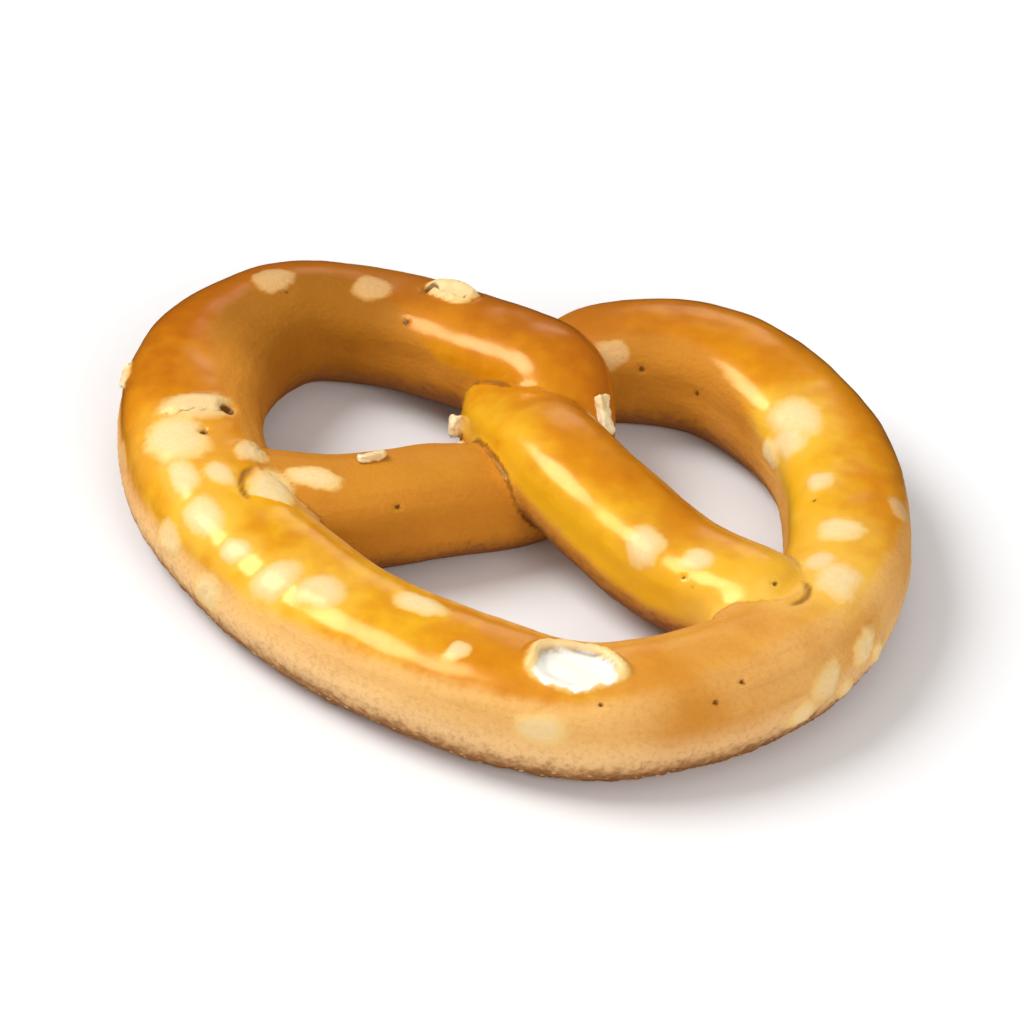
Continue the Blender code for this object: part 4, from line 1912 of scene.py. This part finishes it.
def crystal_tree() -> bpy.types.NodeTree:
    """Builds the tree that puts a chipped block on each point.

    Returns:
        The Geometry Nodes tree.
    """
    sizes = [("Chip Depth", FLOAT, 0.0), ("Chip Size", FLOAT, 1.0)]
    sketch, given, end = geometry_tree("Salt Crystals", sizes)
    block = sketch.node("GeometryNodeMeshCube", {"Size": (1.0, 1.0, 1.0)})
    inputs = {"Mesh": block.outputs[0], "Level": 4, "Edge Crease": 0.4}
    soft = sketch.node("GeometryNodeSubdivisionSurface", inputs)
    turns = attribute_in_geometry(sketch, "turn", "FLOAT_VECTOR")
    rotation = sketch.node("FunctionNodeEulerToRotation", {0: turns})
    inputs = {
        "Points": given["Geometry"],
        "Instance": soft.outputs[0],
        "Rotation": rotation.outputs[0],
        "Scale": attribute_in_geometry(sketch, "size", "FLOAT_VECTOR"),
    }
    laid = sketch.node("GeometryNodeInstanceOnPoints", inputs)
    real = sketch.node("GeometryNodeRealizeInstances", {0: laid.outputs[0]})
    chip_noise = sketch.noise(place_in_geometry(sketch), given["Chip Size"], detail=3.0)
    chips = sketch.product(sketch.swing(chip_noise, 2.0), given["Chip Depth"])
    close_tree(sketch, given, end, push_out(sketch, real.outputs[0], chips))
    return sketch.tree


SCRAP_SHAPE = (1.3, 0.9, 0.5)  # a crumb's length, width and thickness for its size
LOWEST_CRUMB = 0.35 * MM


@dataclass
class CrustCrumbs:
    """Dry scraps of crust that cling to the crumbly lower edge."""

    crust: bpy.types.Object
    material: bpy.types.Material
    per_square_metre: float = 4.0e6
    spacing: float = 0.16 * MM
    smallest: float = 0.05 * MM
    largest: float = 0.13 * MM
    seed: int = 7

    def build(self) -> bpy.types.Object:
        """Makes the crumbs.

        Returns:
            One mesh of them all.
        """
        piece = bpy.data.objects.new("crust_crumbs", self.crust.data.copy())
        bpy.context.scene.collection.objects.link(piece)
        values = {
            "Material": self.material,
            "Density": self.per_square_metre,
            "Spacing": self.spacing,
            "Smallest": self.smallest,
            "Largest": self.largest,
            "Seed": self.seed,
        }
        run_tree(piece, crumb_tree(), values)
        return piece


def crumb_tree() -> bpy.types.NodeTree:
    """Builds the tree that scatters flat scraps where the skin is crumbly.

    Returns:
        The Geometry Nodes tree.
    """
    inputs = [(name, FLOAT, 0.0) for name in ("Density", "Spacing", "Smallest", "Largest")]
    sketch, given, end = geometry_tree("Crust Crumbs", [*inputs, ("Seed", "NodeSocketInt", 0)])
    share = sketch.fade(attribute_in_geometry(sketch, "crumbly"), 0.2, 1.0)
    position = sketch.node("GeometryNodeInputPosition").outputs[0]
    height = sketch.node("ShaderNodeSeparateXYZ", {0: position}).outputs["Z"]
    clear = sketch.math("GREATER_THAN", height, LOWEST_CRUMB)
    inputs = {
        "Mesh": given["Geometry"],
        "Distance Min": given["Spacing"],
        "Density Max": given["Density"],
        "Density Factor": sketch.product(share, clear),
        "Seed": given["Seed"],
    }
    scattered = sketch.node("GeometryNodeDistributePointsOnFaces", inputs, distribute_method="POISSON")
    scrap = sketch.node("GeometryNodeMeshIcoSphere", {"Radius": 1.0, "Subdivisions": 1})
    size = random_number(sketch, given["Smallest"], given["Largest"], given["Seed"])
    scale = sketch.node("ShaderNodeVectorMath", {0: SCRAP_SHAPE, "Scale": size}, operation="SCALE")
    inputs = {
        "Points": scattered.outputs["Points"],
        "Instance": scrap.outputs[0],
        "Rotation": scattered.outputs["Rotation"],
        "Scale": scale.outputs[0],
    }
    laid = sketch.node("GeometryNodeInstanceOnPoints", inputs)
    close_tree(sketch, given, end, laid.outputs[0])
    return sketch.tree


def random_number(
    sketch: NodeSketch, low: bpy.types.NodeSocket, high: bpy.types.NodeSocket, seed: bpy.types.NodeSocket
) -> bpy.types.NodeSocket:
    """Draws a random number for each instance.

    Args:
        sketch: The sketch on the tree.
        low: The smallest number.
        high: The largest number.
        seed: The seed.

    Returns:
        The number.
    """
    made = sketch.node("FunctionNodeRandomValue", data_type="FLOAT")
    by_identifier = {socket.identifier: socket for socket in made.inputs}
    sketch.feed(by_identifier["Min_001"], low)
    sketch.feed(by_identifier["Max_001"], high)
    sketch.feed(by_identifier["Seed"], seed)
    return next(socket for socket in made.outputs if socket.identifier == "Value_001")


# Studio


class LightUse(Enum):
    """What a light is for: to light things up, or to be mirrored by what is glossy."""

    LIGHT = "light"
    GLEAM = "gleam"


@dataclass(frozen=True)
class SoftLight:
    """A round soft light: the direction that it shines from, its distance, width, power and colour."""

    name: str
    direction: tuple[float, float, float]
    distance: float
    size: float
    power: float
    colour: Colour = (1.0, 1.0, 1.0)
    use: LightUse = LightUse.LIGHT

    def build(self) -> None:
        """Adds the light, turned to face the origin."""
        data = bpy.data.lights.new(self.name, "AREA")
        data.shape = "DISK"
        data.size = self.size
        data.energy = self.power
        data.color = self.colour
        light = bpy.data.objects.new(self.name, data)
        direction = Vector(self.direction).normalized()
        light.location = direction * self.distance
        light.rotation_mode = "QUATERNION"
        light.rotation_quaternion = direction.to_track_quat("Z", "Y")
        light.visible_diffuse = self.use is LightUse.LIGHT
        light.visible_glossy = self.use is LightUse.GLEAM
        bpy.context.scene.collection.objects.link(light)


@dataclass(frozen=True)
class Studio:
    """A white tabletop, soft lights from the left and the front, their gleams, and the camera."""

    azimuth: float = 9.0
    elevation: float = 37.0
    roll: float = 5.2
    distance: float = 350 * MM
    aim: tuple[float, float, float] = (0.58 * MM, -0.62 * MM, 3.2 * MM)
    lens: float = 244.5
    sensor: float = 36.0
    floor_size: float = 1.2
    floor_drop: float = 0.02 * MM
    world_light: float = 0.50
    reflected_world: float = 0.01  # the surroundings' strength as glossy skin shows them
    lights: tuple[SoftLight, ...] = (
        SoftLight("softbox", (-0.68, 0.05, 0.73), 0.6, 0.36, 3.1),
        SoftLight("front_fill", (0.55, -0.70, 0.50), 0.7, 0.50, 2.1),
        SoftLight("gleam", (-0.57, -0.03, 0.82), 0.6, 0.42, 4.4, (1.0, 0.82, 0.48), LightUse.GLEAM),
        SoftLight("rim_gleam", (-0.10, 0.90, 0.42), 0.7, 0.20, 0.15, (1.0, 0.88, 0.70), LightUse.GLEAM),
    )

    def build(self) -> None:
        """Makes the floor, the lights and the camera."""
        self.add_floor()
        self.add_light()
        self.add_camera()

    def add_floor(self) -> None:
        """The tabletop, a hair below the pretzel's sole."""
        half = self.floor_size / 2
        corners = [(-half, -half), (half, -half), (half, half), (-half, half)]
        mesh = bpy.data.meshes.new("tabletop")
        mesh.from_pydata([(x, y, -self.floor_drop) for x, y in corners], [], [(0, 1, 2, 3)])
        mesh.materials.append(FloorFinish().material())
        floor = bpy.data.objects.new("tabletop", mesh)
        floor.visible_glossy = False
        bpy.context.scene.collection.objects.link(floor)

    def add_light(self) -> None:
        """The soft lights and the pale surroundings."""
        for light in self.lights:
            light.build()
        world = bpy.data.worlds.new("white_room")
        world.use_nodes = True
        sky = world.node_tree.nodes["Background"]
        sky.inputs["Color"].default_value = (1.0, 1.0, 1.0, 1.0)
        sketch = NodeSketch(world.node_tree)
        mirrored = sketch.node("ShaderNodeLightPath").outputs["Is Glossy Ray"]
        sketch.feed(sky.inputs["Strength"], sketch.between(mirrored, self.world_light, self.reflected_world))
        bpy.context.scene.world = world
        bpy.context.scene.view_settings.view_transform = "Standard"

    def add_camera(self) -> None:
        """The camera at the photograph's angle."""
        azimuth, elevation = math.radians(self.azimuth), math.radians(self.elevation)
        back = Vector(
            (
                math.sin(azimuth) * math.cos(elevation),
                -math.cos(azimuth) * math.cos(elevation),
                math.sin(elevation),
            )
        )
        data = bpy.data.cameras.new("camera")
        data.lens = self.lens
        data.sensor_width = self.sensor
        camera = bpy.data.objects.new("camera", data)
        camera.rotation_mode = "QUATERNION"
        level = (-back).to_track_quat("-Z", "Y")
        camera.rotation_quaternion = level @ Quaternion((0.0, 0.0, 1.0), math.radians(self.roll))
        camera.location = Vector(self.aim) + back * self.distance
        bpy.context.scene.collection.objects.link(camera)
        bpy.context.scene.camera = camera


def report(piece: bpy.types.Object) -> None:
    """Logs a finished piece's name and how many triangles it has."""
    piece.data.calc_loop_triangles()
    LOG.info("%s: %d triangles", piece.name, len(piece.data.loop_triangles))


def main() -> None:
    """Builds the pretzel's crust, its salt and crumbs, and the studio."""
    logging.basicConfig(level=logging.INFO, format="%(name)s: %(message)s")
    groups = EffectGroups()
    strand = Strand()
    crust = PretzelCrust(strand, CrustFinish().material(groups)).build()
    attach(crust, BODY)
    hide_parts("pretzel")
    report(crust)
    crumbs = CrustCrumbs(crust, CrumbFinish().material(groups)).build()
    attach(crumbs, BODY)
    report(crumbs)
    salt = SaltCrystals(strand, SaltFinish().material(groups)).build()
    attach(salt, BODY)
    report(salt)
    Studio().build()


if __name__ == "__main__":
    main()
